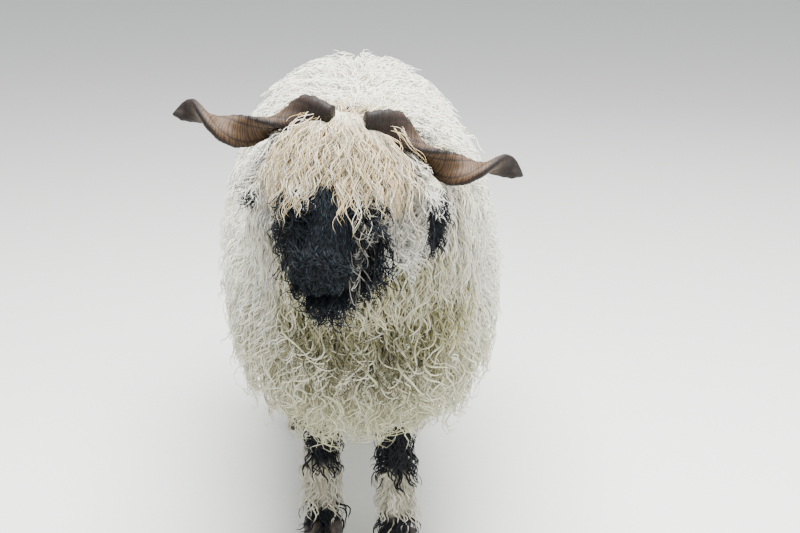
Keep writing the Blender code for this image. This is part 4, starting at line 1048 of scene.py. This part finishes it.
root, normal = roots_on(on_legs & (z > 0.052), 0.0085)
count = len(root)
quarter = (root[:, 1] > 0.3) * 2 + (root[:, 0] > 0)
flat = np.zeros((count, 2))
for part in range(4):
    mine = quarter == part
    flat[mine] = unrolled(root[mine], root[mine].mean(0), (0, 0, 1), (0, 1, 0)) * (0.24, 1) + (part / 4, 0)
coat(
    "leg_wool", root, normal, np.array([0.0, 0.15, -1.0]) + random.normal(0, 0.25, (count, 3)), flat,
    even(count, 0.0024, 0.0040),
    [toned(count, ("#b9b295", "#cdc7b1"), 0.1), toned(count, ("#e6e0cc", "#f2eee1", "#d4cbad"), 0.08)],
    white_wool, "leg_wool", rings=8, spacing=0.017, black=random.random(count) < markings(root),
    length=np.minimum(even(count, 0.026, 0.044), np.maximum(root[:, 2] - 0.022, 0.012)),
    height=even(count, 0.006, 0.013), fall=even(count, 0.3, 0.8), turns=even(count, 0.8, 1.4),
    swing=even(count, 0.6, 1.05), gather=0.4, spread=0.002,
)

# The tail
# A long undocked tail in hanging wool, with the ewe's black spot below its root.

root, normal = roots_on(on_tail & on_body, 0.0085)
count = len(root)
coat(
    "tail_wool", root, normal, np.array([0.0, 0.10, -1.0]) + random.normal(0, 0.15, (count, 3)),
    unrolled(root, (0, 0.87, 0.5), (0, 0, 1), (0, 1, 0)), even(count, 0.0030, 0.0050),
    [toned(count, ("#c3bca2", "#d3cdb8"), 0.08), toned(count, ("#eeeadd", "#f6f4ea", "#e0d9c2"), 0.06)],
    white_wool, "fleece", rings=9, spacing=0.020, black=random.random(count) < markings(root),
    length=even(count, 0.050, 0.085), height=even(count, 0.008, 0.016), fall=even(count, 0.6, 1.0),
    turns=even(count, 1.0, 1.6), swing=even(count, 0.5, 0.9), gather=0.5, spread=0.002,
)

# The crown and forelock
# Cream and straw locks fall from the poll over horns, brow and eyes in loose waves 2 to 3 cm long,
# part a little right of the middle, and leave the black bridge of the nose bare.

PARTING = -0.012
BRIDGE_TOP = 0.140
LOWEST_TIP = 0.060
crown = about_head & (behind > 0.150) & (above > 0.012) & (np.abs(out) < 0.088)
root, normal = roots_on(crown, 0.0042)
count = len(root)
o, b, a = in_head(root)
back = eased(b, 0.262, 0.05) * (random.random(count) > 0.18)
fan = (o - PARTING) * 6.5
lie = head_directions(fan * (1 - 0.5 * back), -1.0 + 2.0 * back, -0.25 + 0.4 * back)
lie += 0.20 * np.stack([ragged(root + k, 0.030) for k in (0.3, 0.6, 0.7)], axis=1)
reach = np.clip(BRIDGE_TOP - 2.6 * (np.abs(o - PARTING) * 1.9 - 0.020), LOWEST_TIP, BRIDGE_TOP)
share = random.random(count)
length = np.clip((b - reach) * 1.25, 0.024, 0.145) * (0.42 + 0.63 * share**1.3) * np.where(o < -0.030, 0.72, 1.0)
stub = np.clip((b - 0.128) * 1.15, 0.018, 0.10) * even(count, 0.75, 1.1)
length = np.where((o > 0.010) & (ragged(root + 0.77, 0.006) < 0.26), np.minimum(stub, length), length)
length = np.where((b > 0.235) & (np.abs(o) > 0.042), np.minimum(length, 0.045), length)
straw = np.array([0.62, 0.50, 0.30, 1.0]) ** (0.55 * eased(ragged(root + 0.33, 0.006), 0.15, 0.8))[:, None]
coat(
    "forelock", root, normal, lie, unrolled(root, on_head(0, 0.2, 0), HEAD_TURN @ FORWARD, HEAD_TURN @ DORSAL),
    even(count, 0.0010, 0.0023),
    [
        toned(count, ("#b5ab92", "#e6dfcc", "#a38a58"), 0.16) * straw,
        toned(count, ("#fffaf0", "#f0dcb2", "#d8b878", "#fffcf4"), 0.10) * straw,
    ],
    white_wool, "fleece", rings=17, spacing=0.0095, farthest=0.034,
    length=np.where(back > 0.5, even(count, 0.040, 0.065), length), height=even(count, 0.004, 0.015),
    fall=even(count, 0.3, 0.7), turns=even(count, 1.8, 3.0) * np.clip(length / 0.10, 0.4, 1),
    swing=even(count, 0.50, 0.85), gather=0.6, spread=0.0025,
)

# The cheeks
# Grey-white wool stands off the sides of the head in wavy staples and hangs past the jaw.

cheek = about_head & ~crown & (behind > 0.118 - 0.03 * (above < -0.02))
cheek &= (np.abs(out) > 0.030) | (above < 0)
root, normal = roots_on(cheek, 0.0062)
count = len(root)
o, b, a = in_head(root)
short = (1 - eased(b, 0.195, 0.03)) * eased(a, -0.045, 0.02)
smoky = 0.92 * (o > 0.015) * (o < np.where(a < -0.016, 0.068, 0.058)) * (1 - eased(b, 0.150, 0.02)) * (1 - eased(a, 0.030, 0.02))
lie = head_directions(o * 6.0, -np.ones(count), np.full(count, -0.45))
lie += 0.25 * np.stack([ragged(root + k, 0.030) for k in (0.15, 0.35, 0.95)], axis=1)
coat(
    "cheek_wool", root, normal, lie, unrolled(root, on_head(0, 0.2, 0), HEAD_TURN @ FORWARD, HEAD_TURN @ DORSAL),
    even(count, 0.0018, 0.0034),
    [toned(count, ("#c2bca9", "#d6d1c0"), 0.10), toned(count, ("#efece1", "#f8f6ee", "#dad4c0"), 0.08)],
    white_wool, "fleece", rings=12, spacing=0.015, black=random.random(count) < np.maximum(markings(root), smoky),
    length=even(count, 0.040, 0.070) * (1 - 0.45 * short * (a > 0)) * (1 + 0.40 * (smoky > 0.3) * (a < -0.016)), height=even(count, 0.008, 0.022) * (1 - 0.4 * short), fall=even(count, 0.6, 1.2),
    turns=even(count, 1.4, 2.3), swing=even(count, 0.70, 1.15), gather=0.5, spread=0.0025,
)

# The black wool of the muzzle and ears
# Dense short blue-black curls over nose, lips and jaw, sleek up the bridge, with long loose curls
# beside the mouth and under the chin.

flatten = (on_head(0, 0.1, 0), HEAD_TURN @ FORWARD, HEAD_TURN @ DORSAL)
root, normal = roots_on(about_head & ~crown & ~cheek & on_head_skin, 0.0033)
count = len(root)
o, b, a = in_head(root)
sleek = (a > 0.015) * eased(b, 0.045, 0.03)
lie = head_directions(o * 3.0, -sleek, np.full(count, -0.1))
lie += (1.0 - 0.7 * sleek)[:, None] * np.stack([ragged(root + k, 0.010) for k in (0.25, 0.45, 0.85)], axis=1)
# lit: strands on top of the bridge turned blue-grey, a painted highlight; the bright blue-grey tips in the list below
# are painted sky sheen on the black curls.
lit = (0.75 * eased(b, 0.112, 0.05) * (a > 0.02) * (random.random(count) < 0.7))[:, None]
coat(
    "muzzle_wool", root, normal, lie, unrolled(root, *flatten), even(count, 0.0012, 0.0023),
    [toned(count, ("#040508", "#090d12"), 0.2), toned(count, ("#04070b", "#070b10", "#080d13", "#38464f", "#05080c"), 0.35) * (1 - lit) + linear("#5a666e") * lit],
    black_wool, "black_wool", rings=6, spacing=0.0075,
    length=even(count, 0.007, 0.013), height=even(count, 0.0018, 0.0055) * (1 - 0.5 * sleek),
    fall=even(count, 0.1, 0.4), turns=even(count, 0.5, 0.9), swing=even(count, 0.7, 1.2) * (1 - 0.5 * sleek),
    gather=0.3, spread=0.0008,
)

beside = about_head & on_head_skin & (behind < 0.150) & (out < 0.058)
beside &= ((above < -0.016) & (behind > 0.010)) | ((np.abs(out) > 0.034) & (behind > 0.040))
root, normal = roots_on(beside, 0.0043)
count = len(root)
o, b, a = in_head(root)
under = a < -0.030
left = (o > 0.015) & (b > 0.03)
lie = np.stack([o * 8 + 0.35 * left, random.normal(-0.1, 0.2, count), np.full(count, -1.0)], axis=1)
lie += 0.35 * np.stack([ragged(root + k, 0.018) for k in (0.2, 0.5, 0.7)], axis=1)
grey = (random.random(count) < 0.34 * left * (a > -0.02))[:, None]
coat(
    "chin_fringe", root, normal, lie, unrolled(root, *flatten), even(count, 0.0015, 0.0029),
    [
        np.where(grey, toned(count, ("#4c4b46", "#6c6a62"), 0.1), toned(count, ("#050609", "#0e1013"), 0.2)),
        np.where(grey, toned(count, ("#8b887d", "#b6b2a6"), 0.1), toned(count, ("#0a0d11", "#1f252c"), 0.3)),
    ],
    black_wool, "black_wool", rings=14, spacing=0.012,
    length=np.select([left & (a < 0), under], [even(count, 0.058, 0.096), even(count, 0.055, 0.090)], even(count, 0.036, 0.056)),
    height=even(count, 0.006, 0.018) * np.where(a > -0.004, 0.5, 1) + (0.010 + 0.008 * left) * (b > 0.03) * (a < -0.004), fall=even(count, 0.8, 1.6) + 0.6 * left, turns=even(count, 0.6, 1.1),
    swing=even(count, 0.50, 0.90), gather=0.45, spread=0.002, hook=even(count, 1.6, 4.4) - 0.6 * left,
)

root, normal = roots_on(on_ears, 0.0042)
count = len(root)
o, b, a = in_head(root)
lie = head_directions(np.sign(o) * 0.5, -np.ones(count), np.full(count, -0.3)) + random.normal(0, 0.2, (count, 3))
dark = ear_black(root)
coat(
    "ear_hair", root, normal, lie, unrolled(root, on_head(0, 0.15, 0), HEAD_TURN @ LATERAL, HEAD_TURN @ DORSAL),
    even(count, 0.0012, 0.0022),
    [toned(count, ("#b9b4a5", "#cdc8b8"), 0.1), toned(count, ("#e9e5d9", "#f4f2ea"), 0.08)],
    white_wool, "fleece", rings=9, spacing=0.010, black=random.random(count) < dark,
    length=even(count, 0.012, 0.022) + 0.018 * (1 - dark), height=even(count, 0.002, 0.005), fall=even(count, 0.2, 0.6),
    turns=even(count, 0.6, 1.2), swing=even(count, 0.6, 1.1), gather=0.4, spread=0.001,
)

# The floor, the light and the camera
# A plain pale studio floor under soft light from a wide overhead panel and a weaker one in front.
# The camera looks down from 1.35 m at the photograph's angle, over about 3 m.

floor_mesh = bpy.data.meshes.new("floor")
floor_mesh.from_pydata([(-30, -12, 0), (30, -12, 0), (30, 40, 0), (-30, 40, 0)], [], [(0, 1, 2, 3)])
floor = bpy.data.objects.new("floor", floor_mesh)
bpy.context.scene.collection.objects.link(floor)
paper, tree, shader = tree_of("pale_studio_paper")
place = add(tree, "ShaderNodeTexCoord").outputs["Object"]
fibre = add(tree, "ShaderNodeTexNoise", Vector=place, Scale=60.0, Detail=4.0)
ramp = add(tree, "ShaderNodeValToRGB", Fac=fibre.outputs["Fac"])
ramp.color_ramp.elements[0].color = linear("#d4d3cf")
ramp.color_ramp.elements[1].color = linear("#dcdbd7")
tree.links.new(ramp.outputs["Color"], shader.inputs["Base Color"])
shader.inputs["Roughness"].default_value = 0.9
floor_mesh.materials.append(paper)

world = bpy.data.worlds.new("studio")
world.use_nodes = True
world.node_tree.nodes["Background"].inputs["Color"].default_value = linear("#e6ebf0")
world.node_tree.nodes["Background"].inputs["Strength"].default_value = 1.0
bpy.context.scene.world = world
for name, place, target, size, power in (
    ("overhead_panel", (0.1, -0.6, 3.2), (0.0, 0.0, 0.4), 2.4, 600.0),
    ("front_panel", (1.4, -3.2, 1.9), (0.0, -0.3, 0.5), 1.8, 20.0),
    ("side_panel", (2.6, -0.9, 1.7), (0.1, -0.1, 0.6), 1.4, 46.0),
    ("rear_panel", (1.2, 2.8, 2.2), (0.0, 0.3, 0.5), 1.6, 25.0),
):
    light = bpy.data.lights.new(name, "AREA")
    light.size = size
    light.energy = power
    lamp = bpy.data.objects.new(name, light)
    lamp.location = place
    lamp.rotation_euler = (Vector(target) - Vector(place)).to_track_quat("-Z", "Y").to_euler()
    bpy.context.scene.collection.objects.link(lamp)

CAMERA_PLACE = np.array([-0.140, -3.148, 1.350])
view = bpy.data.cameras.new("camera")
view.lens = 87.0
view.sensor_width = 36.0
camera = bpy.data.objects.new("camera", view)
camera.location = CAMERA_PLACE + FROM_DRAWING
camera.rotation_euler = (math.radians(75.0), 0.0, math.radians(-3.6))
bpy.context.scene.collection.objects.link(camera)
bpy.context.scene.camera = camera
